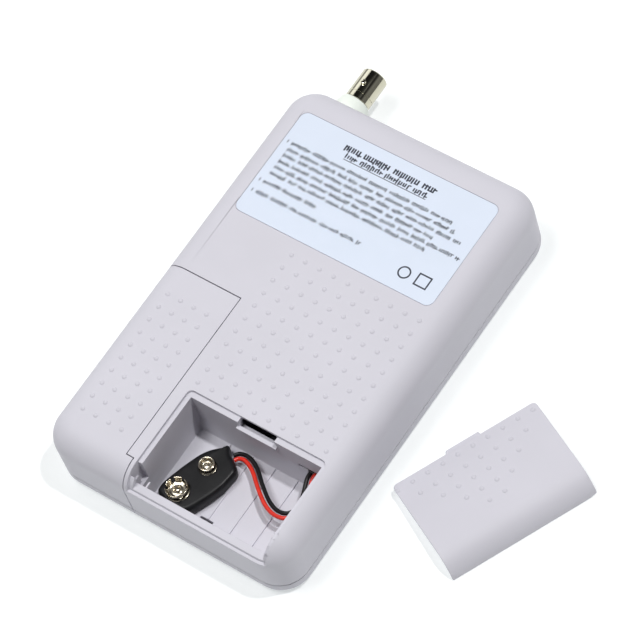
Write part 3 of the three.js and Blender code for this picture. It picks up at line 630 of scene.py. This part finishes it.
def bay(clear):
    """The remote module's corner of the case, right through, and clear larger on its inner sides."""
    x, y = BAY.x - clear, BAY.y - clear
    foot_x, foot_y = BAY.foot_x - clear, BAY.foot_y - clear
    outline = [(-FAR, -FAR), (foot_x, -FAR), (foot_x, foot_y), (x, foot_y), (x, y), (-FAR, y)]
    return prism(outline, -FAR, FAR)


def above_parting():
    return block(-FAR, FAR, -FAR, FAR, PARTING + GAP / 2, FAR)


def below_parting():
    return block(-FAR, FAR, -FAR, FAR, -FAR, PARTING - GAP / 2)


def under_hollow():
    """Lies below the front halves' hollow and takes nothing off; it sets how their bevels divide."""
    return block(-FAR, FAR, -FAR, FAR, -FAR, HOLLOW_FOOT)


def socket_hole(y, socket):
    """The hole in the left wall for a socket that stands on the board."""
    reach = socket.width / 2 + GAP
    return block(-FAR, -CASE.width / 2 + WALL + SOCKET_CUT, y - reach, y + reach, BOARD.top,
                 BOARD.top + 2 * GAP + socket.height)


def dock_rail(wall_x, grow, y0=RAIL.y0, y1=RAIL.y1):
    neck = wall_x - RAIL.neck + grow
    tip = wall_x - RAIL.depth - grow
    stem, head = RAIL.stem / 2 + grow, RAIL.head / 2 + grow
    root = wall_x + OVER
    section = [(root, -stem), (root, stem), (neck, stem), (neck, head), (tip, head),
               (tip, -head), (neck, -head), (neck, -stem)]
    return loft([[(x, y, RAIL.z + z) for x, z in section] for y in (y0, y1)], "rail")


def dots(places):
    """Small raised domes moulded on the back, sunk a little way in."""
    top = CASE.height + DOT.height
    ball = (DOT.radius * DOT.radius + DOT.height * DOT.height) / (2 * DOT.height)
    widest = math.asin(DOT.radius / ball)
    profile = [(0, top)]
    for step in range(1, DOT.steps + 1):
        angle = widest * step / DOT.steps
        profile.append((ball * math.sin(angle), top - ball * (1 - math.cos(angle))))
    profile += [(DOT.radius, CASE.height - SINK), (0, CASE.height - SINK)]
    return merged(shift(lathe(profile, DOT.sides), x, y, 0) for x, y in places)


def leaning_feet():
    """The wedges that make the left and head walls of the battery box slope out to its floor."""
    z0, beyond = BATTERY.floor - SINK, 0.3

    def section(reach):
        return [(-SINK, z0), (reach, z0), (reach, BATTERY.floor), (0, LEAN.z), (-SINK, LEAN.z)]

    left = loft([[(BATTERY.x0 + s, y, z) for s, z in section(LEAN.left)]
                 for y in (BATTERY.y0 - beyond, BATTERY.y1 + beyond)])
    head = loft([[(x, BATTERY.y1 - s, z) for s, z in section(LEAN.head)]
                 for x in (BATTERY.x0 - beyond, BATTERY.x1 + beyond)])
    return left, head


def floor_ribs():
    y0, y1 = BATTERY.y0 - SINK, BATTERY.y1 - LEAN.head - 0.2
    z0, z1 = BATTERY.floor - SINK, BATTERY.floor + RIB.tall
    for index in range(RIB.count):
        x = RIB.x + RIB.pitch * index
        yield block(x - RIB.half, x + RIB.half, y0, y1, z0, z1)


def gussets():
    """Upright ribs in the foot of the battery box, beside its left wall."""
    for x in (SEAT.x0, BATTERY.x0 + GUSSET.offset):
        yield block(x, x + GUSSET.thick, BATTERY.y0 - SINK, BATTERY.y0 + GUSSET.deep,
                    BATTERY.floor - SINK, BATTERY.foot_top)


def battery_details(shell):
    """What stands on the battery box's walls and floor, and what is cut through them."""
    x0, y0, y1, floor_z = BATTERY.x0, BATTERY.y0, BATTERY.y1, BATTERY.floor
    cut(shell, block(SEAT.x0, x0 + OVER, y0, SEAT.ledge_end, SEAT.pocket, FAR))
    join(shell, *leaning_feet(), *floor_ribs(), *gussets())
    slot_x0, slot_x1, bottom = TAB.x0 - TAB.side, TAB.x1 + TAB.side, TAB.z0 - GAP
    lip_x0, lip_x1 = slot_x0 - TAB.side, slot_x1 + TAB.side
    join(shell, block(lip_x0, lip_x1, y1 - TAB.lip, y1 + PIT.y0, bottom - TAB.lip_tall, bottom))
    slot_y0 = y1 - 2 * OVER
    notch_y0, notch_y1 = y1 - LEAN.head - OVER, y1 + NOTCH.behind
    slit_x0, slit_x1 = NOTCH.x0 - NOTCH.slit, NOTCH.x0 + OVER
    return cut(
        shell,
        block(slot_x0, slot_x1, slot_y0, SEAT.y1, bottom, FAR),
        block(slot_x0, slot_x1, slot_y0, y1 + PIT.y1, bottom, PIT.z1),
        block(slot_x0, slot_x1, y1 + PIT.y0, y1 + PIT.y1, PIT.z0, PIT.z1),
        block(FLOOR_SLOT.x0, FLOOR_SLOT.x1, FLOOR_SLOT.y0, FLOOR_SLOT.y1,
              floor_z - FLOOR_SLOT.deep, floor_z + OVER),
        block(NOTCH.x0, NOTCH.x1, notch_y0, notch_y1, NOTCH.z0, NOTCH.z1),
        block(slit_x0, slit_x1, notch_y0, notch_y1, NOTCH.z1 - NOTCH.slit_tall, NOTCH.z1),
        block(slit_x0, slit_x1, y1 + 0.5, notch_y1, NOTCH.z0, NOTCH.z1),
    )


def label_outline(grow):
    x, y = (LABEL.x0 + LABEL.x1) / 2, (LABEL.y0 + LABEL.y1) / 2
    points = outline_at((LABEL.x1 - LABEL.x0) / 2 + grow, (LABEL.y1 - LABEL.y0) / 2 + grow,
                        LABEL.corner + grow, steps=8)
    return [(px + x, py + y) for px, py in points]


def film_outline(grow):
    y = (FILM.y0 + FILM.y1) / 2
    points = outline_at(FILM.half + grow, (FILM.y1 - FILM.y0) / 2 + grow, FILM.corner, steps=8)
    return [(px, py + y) for px, py in points]


def seat_column(clear, corner):
    """The door's outline seen from above, with the corners at its head rounded."""
    x0, x1, y1 = SEAT.x0 + clear, SEAT.x1 - clear, SEAT.y1 - clear
    outline = [(x0, -FAR), (x1, -FAR)]
    outline += arc(x1 - corner, y1 - corner, corner, 0, 90, steps=6)
    outline += arc(x0 + corner, y1 - corner, corner, 90, 180, steps=6)
    return prism(outline, SEAT.z0 + clear, FAR)


def door_seat():
    return cut(seat_column(0, SEAT.corner), back_form(SEAT.depth))


def rear_shell():
    grow = BATTERY.wall
    hollow = back_form(WALL)
    cut(
        hollow,
        bay(-WALL - GAP / 2),
        block(BATTERY.x0 - grow, BATTERY.x1 + grow, BATTERY.y0 - grow, BATTERY.y1 + grow,
              BATTERY.floor - grow, FAR),
        block(SEAT.x0 - SEAT.margin, SEAT.x1 + SEAT.margin, -FAR, SEAT.y1 + SEAT.margin,
              CASE.height - WALL - SEAT.depth, FAR),
    )
    shell = common(back_form(0), above_parting())
    cut(
        shell, bay(-GAP / 2), hollow, door_seat(),
        block(BATTERY.x0, BATTERY.x1, BATTERY.y0, BATTERY.y1, BATTERY.floor, FAR),
        block(BATTERY.x0, BATTERY.x1, -FAR, BATTERY.y0 + OVER, BATTERY.foot_top, FAR),
    )
    for x, y in CASE_SCREWS:
        join(shell, post(x, y, BOARD.top + BACK_POST.clear, CASE.height - WALL + SINK, BACK_POST.radius))
        cut(shell, post(x, y, 0, FAR, BACK_POST.bore),
            post(x, y, CASE.height - BACK_POST.head_deep, FAR, BACK_POST.head))
    battery_details(shell)
    join(shell, dock_rail(BAY.x + GAP / 2, 0))
    collar_hole = post(0, 0, -JACK.hole_reach, JACK.hole_reach, JACK.hole)
    moved(collar_hole, Matrix.Rotation(math.pi / 2, 4, "X"))
    cut(
        shell,
        socket_hole(RJ45.main_y, RJ45), socket_hole(USB_A.y, USB_A),
        shift(collar_hole, JACK.x, CASE.length / 2, JACK.z),
        prism(label_outline(GAP / 2), CASE.height - LABEL.recess, FAR),
    )
    soften(shell, SHELL_EDGE)
    return join(shell, dots((x, y) for x in DOT_COLUMNS for y in DOT_ROWS))


def front_hole(x, y, radius, sides=48):
    """A tool that cuts right through the front wall."""
    return post(x, y, -OVER, FRONT_CUT, radius, sides)


def front_shell():
    hollow = cut(front_form(WALL), bay(-WALL - GAP / 2), under_hollow())
    shell = common(front_form(0), below_parting())
    cut(shell, bay(-GAP / 2), hollow)
    for x, y in CASE_SCREWS:
        join(shell, post(x, y, FRONT_ROOT, BOARD.top + FRONT_POST.clear, FRONT_POST.radius))
        cut(shell, post(x, y, FRONT_POST.bore_end, FAR, FRONT_POST.bore))
    for x, y in BOARD_SCREWS:
        join(shell, post(x, y, FRONT_ROOT, BOARD.bottom - GAP, BOARD_POST.radius))
        cut(shell, post(x, y, BOARD_POST.bore_end, FAR, BOARD_POST.bore))
    for x in LAMPS.columns:
        cut(shell, front_hole(x, LAMPS.y, LAMPS.radius + GAP))
    cut(shell, prism(film_outline(GAP), -OVER, FILM.recess),
        front_hole(KEY.x, KEY.y, KEY.radius + KEY.gap, sides=64))
    return soften(shell, SHELL_EDGE)


def remote_form(form):
    """The module's share of a form, with the groove that runs on the main case's rail."""
    groove = dock_rail(BAY.x + GAP / 2, RAIL.gap, RAIL.y0 - GAP, FAR)
    return cut(common(form, bay(GAP / 2)), groove)


def remote_hollow(form):
    """The module's hollow, kept off the core that its groove is cut in."""
    inner = block(-FAR, BAY.x - WALL - GAP / 2, -FAR, BAY.y - WALL - GAP / 2, -FAR, FAR)
    core = block(BAY.x - WALL - RAIL_CORE.deep, FAR, -FAR, FAR,
                 RAIL.z - RAIL_CORE.half, RAIL.z + RAIL_CORE.half)
    return cut(common(form, inner), core)


def remote_rear_shell():
    x, y = REMOTE_SCREW
    pillar = REMOTE_BACK_POST
    shell = remote_form(common(back_form(0), above_parting()))
    cut(shell, remote_hollow(back_form(WALL)))
    join(shell, post(x, y, BOARD.top + pillar.clear, CASE.height - WALL + SINK, pillar.radius))
    cut(shell, post(x, y, 0, pillar.bore_end, pillar.bore),
        socket_hole(RJ45.remote_y, RJ45), socket_hole(USB_B.y, USB_B))
    soften(shell, SHELL_EDGE)
    return join(shell, dots((x, y) for x in REMOTE_DOT_COLUMNS for y in REMOTE_DOT_ROWS))


def remote_front_shell():
    x, y = REMOTE_SCREW
    pillar = REMOTE_FRONT_POST
    shell = remote_form(common(front_form(0), below_parting()))
    cut(shell, cut(remote_hollow(front_form(WALL)), under_hollow()))
    join(shell, post(x, y, FRONT_ROOT, BOARD.bottom - GAP, pillar.radius))
    cut(shell, post(x, y, -OVER, pillar.head_deep, pillar.head), post(x, y, -OVER, FAR, pillar.bore))
    return soften(shell, SHELL_EDGE)


def battery_door():
    """Drawn where it closes the battery box, then laid on the table as the frame has it."""
    rim = COVER.rim_wide
    core = block(SEAT.x0 + rim, SEAT.x1 - rim, -FAR, SEAT.y1 - rim, SEAT.z0 - OVER, FAR)
    door = cut(common(back_form(0), seat_column(GAP, COVER.corner)), back_form(COVER.thick),
               cut(back_form(COVER.rim), core))
    foot_y = -CASE.length / 2 + COVER.thick
    root_y = SEAT.y1 - rim - TAB.root
    tongue = [(TAB.x0, root_y), (TAB.x1, root_y), (TAB.x1, TAB.tip), (TAB.x0, TAB.tip)]
    join(
        door,
        prism(rounded(tongue, TAB.corner), TAB.z0, TAB.z1),
        block(TAB.x0, TAB.x1, root_y, root_y + TAB.web, TAB.z0, CASE.height - 1),
        block(CATCH.x0, CATCH.x1, foot_y - CATCH.outer, foot_y + CATCH.inner, CATCH.z0, CATCH.z1),
    )
    arrow = []
    for row, y in enumerate(COVER_DOT_ROWS):
        arrow += [(x, y) for x in DOT_COLUMNS[row:len(DOT_COLUMNS) - row]]
    join(soften(door, COVER.edge, segments=3), dots(arrow))
    middle, foot_z = (SEAT.x0 + SEAT.x1) / 2, SEAT.z0 + GAP
    tilt = math.atan2(TAB.z0 - foot_z, TAB.tip - foot_y)
    shift(door, -middle, -TAB.tip, -TAB.z0)
    moved(door, Matrix.Rotation(-tilt, 4, "X"))
    moved(door, Matrix.Rotation(math.radians(COVER_PLACE.yaw), 4, "Z"))
    return shift(door, COVER_PLACE.x, COVER_PLACE.y, COVER_PLACE.z)


settle(rear_shell(), "rear_case", "tester", "case_plastic", ("rear_shell",))
settle(front_shell(), "front_case", "tester", "case_plastic", ("front_shell",))
settle(remote_rear_shell(), "remote_rear_case", "remote_module", "case_plastic", ("remote_rear_shell",))
settle(remote_front_shell(), "remote_front_case", "remote_module", "case_plastic",
       ("remote_front_shell",))
settle(battery_door(), "battery_cover", "door", "case_plastic", ("battery_door",))


# ---------------------------------------------------------------- label and its plain printed strokes

TITLE = SimpleNamespace(x0=-20.0, x1=18.0, base=61.4, tall=2.0, weight=0.62)
SUBTITLE = SimpleNamespace(x0=-18.0, x1=16.0, base=58.8, tall=1.9, weight=0.54)
UNDERLINE = SimpleNamespace(y0=58.0, y1=58.25)
TEXT = SimpleNamespace(x0=-37.3, drop=0.7, tall=1.5, weight=0.38)
TEXT_LINES = ((55.0, 29.4), (52.3, 32.1), (49.7, 37.2), (47.0, 27.2), (44.4, 38.9), (41.8, 28.2),
              (37.9, -15.3), (33.3, 6.3))  # middle height and right end of each line
STEP_MARK = SimpleNamespace(x0=-39.1, x1=-38.8, above=0.6, lines=(55.0, 37.9, 33.3))
RING_MARK = SimpleNamespace(x=25.4, y=31.3, radius=2.4)
SQUARE_MARK = SimpleNamespace(x0=30.2, x1=35.4, y0=28.9, y1=33.9)
MARK_WEIGHT = 0.55
INK = SimpleNamespace(lift=0.01, thick=0.02, over=0.004)
WORD = SimpleNamespace(
    length=(2.2, 7.0), for_tall=1.25,  # a word's length, for letters as tall as for_tall
    pitch=(0.42, 0.58), space=(0.55, 0.8),  # from stroke to stroke and word to word, in letter heights
    tops=(0.72, 0.72, 0.78, 1.0), feet=(0.0, 0.0, 0.0, -0.2), levels=(0.0, 0.3, 0.6),
    crossed=0.55,  # share of the uprights that get a level stroke
)


def label():
    z0 = CASE.height - LABEL.recess + LABEL.lift
    return soften(prism(label_outline(0), z0, z0 + LABEL.thick), width=0.06)


def bar(x0, x1, y0, y1, z):
    return block(x0, x1, y0, y1, z, z + INK.thick)


def word_strokes(rng, x0, x1, base, tall, weight, z, tops=WORD.tops):
    """A line of greeked words: upright and level strokes with gaps, and no letters."""
    strokes = []
    x = x0
    while x < x1 - 1:
        end = min(x + rng.uniform(*WORD.length) * tall / WORD.for_tall, x1)
        while x < end - weight:
            high = tall * rng.choice(tops)
            low = rng.choice(WORD.feet) * tall
            strokes.append(bar(x, x + weight, base + low, base + high, z))
            if rng.random() < WORD.crossed:
                level = base + tall * rng.choice(WORD.levels)
                strokes.append(bar(x + weight * 0.6, x + weight * 2.4, level, level + weight * 0.8,
                                   z + INK.over))
            x += tall * rng.uniform(*WORD.pitch)
        x += tall * rng.uniform(*WORD.space)
    return strokes


def ring_mark(z):
    x, y, radius = RING_MARK.x, RING_MARK.y, RING_MARK.radius
    hole = post(x, y, z - OVER, z + OVER, radius - MARK_WEIGHT, sides=40)
    return cut(post(x, y, z, z + INK.thick, radius, sides=40), hole)


def square_mark(z):
    x0, x1, y0, y1 = SQUARE_MARK.x0, SQUARE_MARK.x1, SQUARE_MARK.y0, SQUARE_MARK.y1
    hole = block(x0 + MARK_WEIGHT, x1 - MARK_WEIGHT, y0 + MARK_WEIGHT, y1 - MARK_WEIGHT,
                 z - OVER, z + OVER)
    return cut(bar(x0, x1, y0, y1, z), hole)


def label_print():
    rng = random.Random(11)
    z = CASE.height - LABEL.recess + LABEL.lift + LABEL.thick + INK.lift
    strokes = word_strokes(rng, TITLE.x0, TITLE.x1, TITLE.base, TITLE.tall, TITLE.weight, z, (1.0,))
    strokes += word_strokes(rng, SUBTITLE.x0, SUBTITLE.x1, SUBTITLE.base, SUBTITLE.tall,
                            SUBTITLE.weight, z)
    strokes.append(bar(SUBTITLE.x0, SUBTITLE.x1, UNDERLINE.y0, UNDERLINE.y1, z))
    for y, end in TEXT_LINES:
        strokes += word_strokes(rng, TEXT.x0, end, y - TEXT.drop, TEXT.tall, TEXT.weight, z)
    for y in STEP_MARK.lines:
        strokes.append(bar(STEP_MARK.x0, STEP_MARK.x1, y - TEXT.drop, y + STEP_MARK.above, z))
    strokes += [ring_mark(z), square_mark(z)]
    return merged(strokes)


settle(label(), "back_paper_label", "tester", "label_paper", ("back_label",))
settle(label_print(), "label_printing", "tester", "label_paper", paint="label_ink", smooth=20)


# ---------------------------------------------------------------- coaxial jack

MOUTH = SimpleNamespace(radius=4.05, deep=10.0, bore=2.8)
BARREL = SimpleNamespace(back=73.0, root=4.3, groove=0.14, groove_y0=87.0, groove_y1=87.45)
PIN = SimpleNamespace(y=91.0, radius=0.95, root=3.9, proud=1.0)
COLLAR = SimpleNamespace(bore=4.75, radius=6.5, shoulder=80.1, neck=5.62, mouth=5.4)
HOUSING = SimpleNamespace(half=7.0, deep=12.5, top=6.1, bore_deep=6.0)
INNER_WALL_Y = CASE.length / 2 - WALL - GAP


def along_y(obj):
    """A turned piece's axis laid along +Y at the jack."""
    moved(obj, Matrix.Rotation(-math.pi / 2, 4, "X"))
    return shift(obj, JACK.x, 0, JACK.z)


def bnc_barrel():
    r, base, tip = JACK.radius, JACK.base, JACK.tip
    waist, y0, y1 = JACK.radius - BARREL.groove, BARREL.groove_y0, BARREL.groove_y1
    floor_y = tip - MOUTH.deep
    return lathe([
        (MOUTH.bore, BARREL.back), (BARREL.root, BARREL.back), (BARREL.root, base + 0.2),
        (r - 0.12, base + 0.3), (r, base + 0.5), (r, y0), (waist, y0 + 0.1), (waist, y1 - 0.1), (r, y1),
        (r, tip - 0.55), (r - 0.1, tip - 0.3), (r - 0.4, tip - 0.02), (r - 0.6, tip), (4.2, tip - 0.1),
        (MOUTH.radius, tip - 0.4), (MOUTH.radius, floor_y), (MOUTH.bore, floor_y),
        (MOUTH.bore, BARREL.back),
    ], sides=96, name="barrel")


def bnc_pins():
    pins = []
    top = JACK.radius + PIN.proud
    for side in (1, -1):
        pin = lathe([(0, PIN.root), (PIN.radius, PIN.root), (PIN.radius, top - 0.25),
                     (PIN.radius - 0.07, top - 0.08), (PIN.radius - 0.25, top), (0, top)],
                    sides=32, name="pin")
        if side < 0:
            moved(pin, Matrix.Rotation(math.pi, 4, "X"))
        pins.append(shift(pin, JACK.x, PIN.y, JACK.z))
    return merged(pins)


def bnc_collar():
    """The white ring outside the wall and the housing behind it."""
    base, inner, bore = JACK.base, INNER_WALL_Y, COLLAR.bore
    collar = lathe([
        (bore, inner - 1), (COLLAR.radius, inner - 1), (COLLAR.radius, COLLAR.shoulder),
        (COLLAR.radius - 0.1, COLLAR.shoulder + 0.3), (COLLAR.neck, base - 0.25), (COLLAR.mouth, base),
        (bore + 0.1, base), (bore, base - 0.1), (bore, inner - 1),
    ], sides=72, name="collar")
    housing = block(-HOUSING.half, HOUSING.half, inner - HOUSING.deep, inner - 1.05,
                    -JACK.z + BOARD.top + GAP, HOUSING.top)
    hole = post(0, 0, inner - HOUSING.bore_deep, FAR, bore)
    cut(housing, moved(hole, Matrix.Rotation(-math.pi / 2, 4, "X")))
    shift(housing, JACK.x, 0, JACK.z)
    return merged([along_y(collar), soften(housing, width=0.3)])


settle(along_y(bnc_barrel()), "jack_barrel", "tester", "nickel", ("bnc_shell",), smooth=28)
settle(bnc_pins(), "jack_bayonet_pins", "tester", "nickel", smooth=28)
settle(bnc_collar(), "jack_collar", "tester", "white_plastic", ("bnc_base",), smooth=28)


# ---------------------------------------------------------------- front film and button

def film():
    z1 = FILM.recess - GAP
    sheet = prism(film_outline(0), z1 - FILM.thick, z1)
    for x in LAMPS.columns:
        cut(sheet, front_hole(x, LAMPS.y, LAMPS.radius + FILM.gap))
    return soften(sheet, width=0.08)


def button():
    """A dished key with a flange behind the case's face."""
    face, flange_z0, flange_z1, flange = 0.6, 2.3, 3.0, 7.3
    return shift(lathe([
        (0, face + 0.35), (1.5, face + 0.3), (3.0, face + 0.15), (4.3, face), (5.1, face),
        (5.6, face + 0.12), (5.9, face + 0.4), (KEY.radius, face + 0.8), (KEY.radius, flange_z0),
        (flange - 0.1, flange_z0), (flange, flange_z0 + 0.1), (flange, flange_z1 - 0.1),
        (flange - 0.1, flange_z1), (0, flange_z1),
    ], sides=72, name="button"), KEY.x, KEY.y, 0)


settle(film(), "front_film", "tester", "overlay_film", ("front_overlay",))
settle(button(), "test_key", "button", "button_plastic", ("test_button",))


# ---------------------------------------------------------------- inner nodes keep their shape

NODE_SLOTS = {
    "main_board": "circuit_board", "remote_board": "circuit_board",
    "switch_housing": "black_plastic", "switch_plunger": "black_plastic",
    "led_connected": "green_lens", "led_short": "red_lens", "led_crossed": "red_lens",
    "led_open": "red_lens", "led_low_battery": "red_lens",
    "bnc_insulator": "white_plastic", "bnc_contact": "gold_contact",
    "main_rj45_housing": "black_plastic", "remote_rj45_housing": "black_plastic",
    "main_rj45_contacts": "gold_contact", "remote_rj45_contacts": "gold_contact",
    "main_usb_a_shell": "tinned_steel", "remote_usb_b_shell": "tinned_steel",
    "main_usb_a_tongue": "white_plastic", "remote_usb_b_tongue": "white_plastic",
    "counter_chip": "black_plastic", "timer_chip": "black_plastic",
    "supply_capacitor": "black_plastic",
    "case_screw_1": "screw_steel", "case_screw_2": "screw_steel",
    "board_screw_1": "screw_steel", "board_screw_2": "screw_steel", "remote_screw": "screw_steel",
    "lead_red_inner": "red_pvc", "lead_black_inner": "black_vinyl",
}
for node, slot in NODE_SLOTS.items():
    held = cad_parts[node]
    held.data.materials.clear()
    held.data.materials.append(MATERIALS[slot])


# ---------------------------------------------------------------- floor and light

def floor():
    """A pale table top, lit a little from below as a product table is."""
    half = FLOOR.half
    mesh = bpy.data.meshes.new("floor")
    mesh.from_pydata([(-half, -half, 0), (half, -half, 0), (half, half, 0), (-half, half, 0)], [],
                     [(0, 1, 2, 3)])
    obj = bpy.data.objects.new("floor", mesh)
    obj.location.z = -FLOOR.drop
    paint = material("pale_floor", (0.60, 0.60, 0.60, 1), (0.595, 0.595, 0.595, 1),
                     (0.7, 0.8), patch=6, grain=600, grain_strength=0.0, specular=0.1)
    glow = paint.node_tree.nodes["Principled BSDF"].inputs
    glow["Emission Color"].default_value = (0.95, 1.0, 1.0, 1.0)
    glow["Emission Strength"].default_value = FLOOR.glow
    mesh.materials.append(paint)
    bpy.context.scene.collection.objects.link(obj)


def softbox(name, direction, distance, size, power):
    """A white rectangular lamp that faces the origin from the given direction."""
    data = bpy.data.lights.new(name, "AREA")
    data.shape = "RECTANGLE"
    data.size, data.size_y = size
    data.energy = power
    light = bpy.data.objects.new(name, data)
    aim = Vector(direction).normalized()
    light.location = aim * distance
    light.rotation_mode = "QUATERNION"
    light.rotation_quaternion = aim.to_track_quat("Z", "Y")
    bpy.context.scene.collection.objects.link(light)


def sky(strength):
    """Pale surroundings: brighter behind and to the left, dim overhead and on the camera's side."""
    world = bpy.data.worlds.new("studio")
    bpy.context.scene.world = world
    world.use_nodes = True
    nodes, links = world.node_tree.nodes, world.node_tree.links
    back = nodes["Background"]
    back.inputs["Strength"].default_value = strength
    place = nodes.new("ShaderNodeTexCoord")

    def shade(direction, near, far, dim):
        """Falls from 1 to dim as the view turns from near to far along the direction."""
        facing = nodes.new("ShaderNodeVectorMath")
        facing.operation = "DOT_PRODUCT"
        facing.inputs[1].default_value = Vector(direction).normalized()
        links.new(place.outputs["Generated"], facing.inputs[0])
        ramp = nodes.new("ShaderNodeMapRange")
        ramp.interpolation_type = "SMOOTHSTEP"
        ramp.inputs["From Min"].default_value = near
        ramp.inputs["From Max"].default_value = far
        ramp.inputs["To Min"].default_value = 1.0
        ramp.inputs["To Max"].default_value = dim
        links.new(facing.outputs["Value"], ramp.inputs["Value"])
        return ramp.outputs["Result"]

    both = nodes.new("ShaderNodeMath")
    both.operation = "MULTIPLY"
    links.new(shade((0, 0, 1), near=0.5, far=0.78, dim=0.03), both.inputs[0])
    links.new(shade((0.75, -0.65, 0), near=-0.1, far=0.6, dim=0.45), both.inputs[1])
    links.new(both.outputs["Value"], back.inputs["Color"])


floor()
softbox("overhead_softbox", (-0.24, -0.16, 0.96), distance=1.4, size=(0.6, 0.5), power=10.5)
softbox("key_softbox", (0.30, 0.22, 0.93), distance=1.6, size=(0.08, 0.08), power=13.5)
softbox("left_softbox", (-0.74, 0.38, 0.52), distance=1.2, size=(0.7, 0.6), power=1.5)
sky(strength=0.40)
bpy.context.scene.view_settings.view_transform = "Standard"
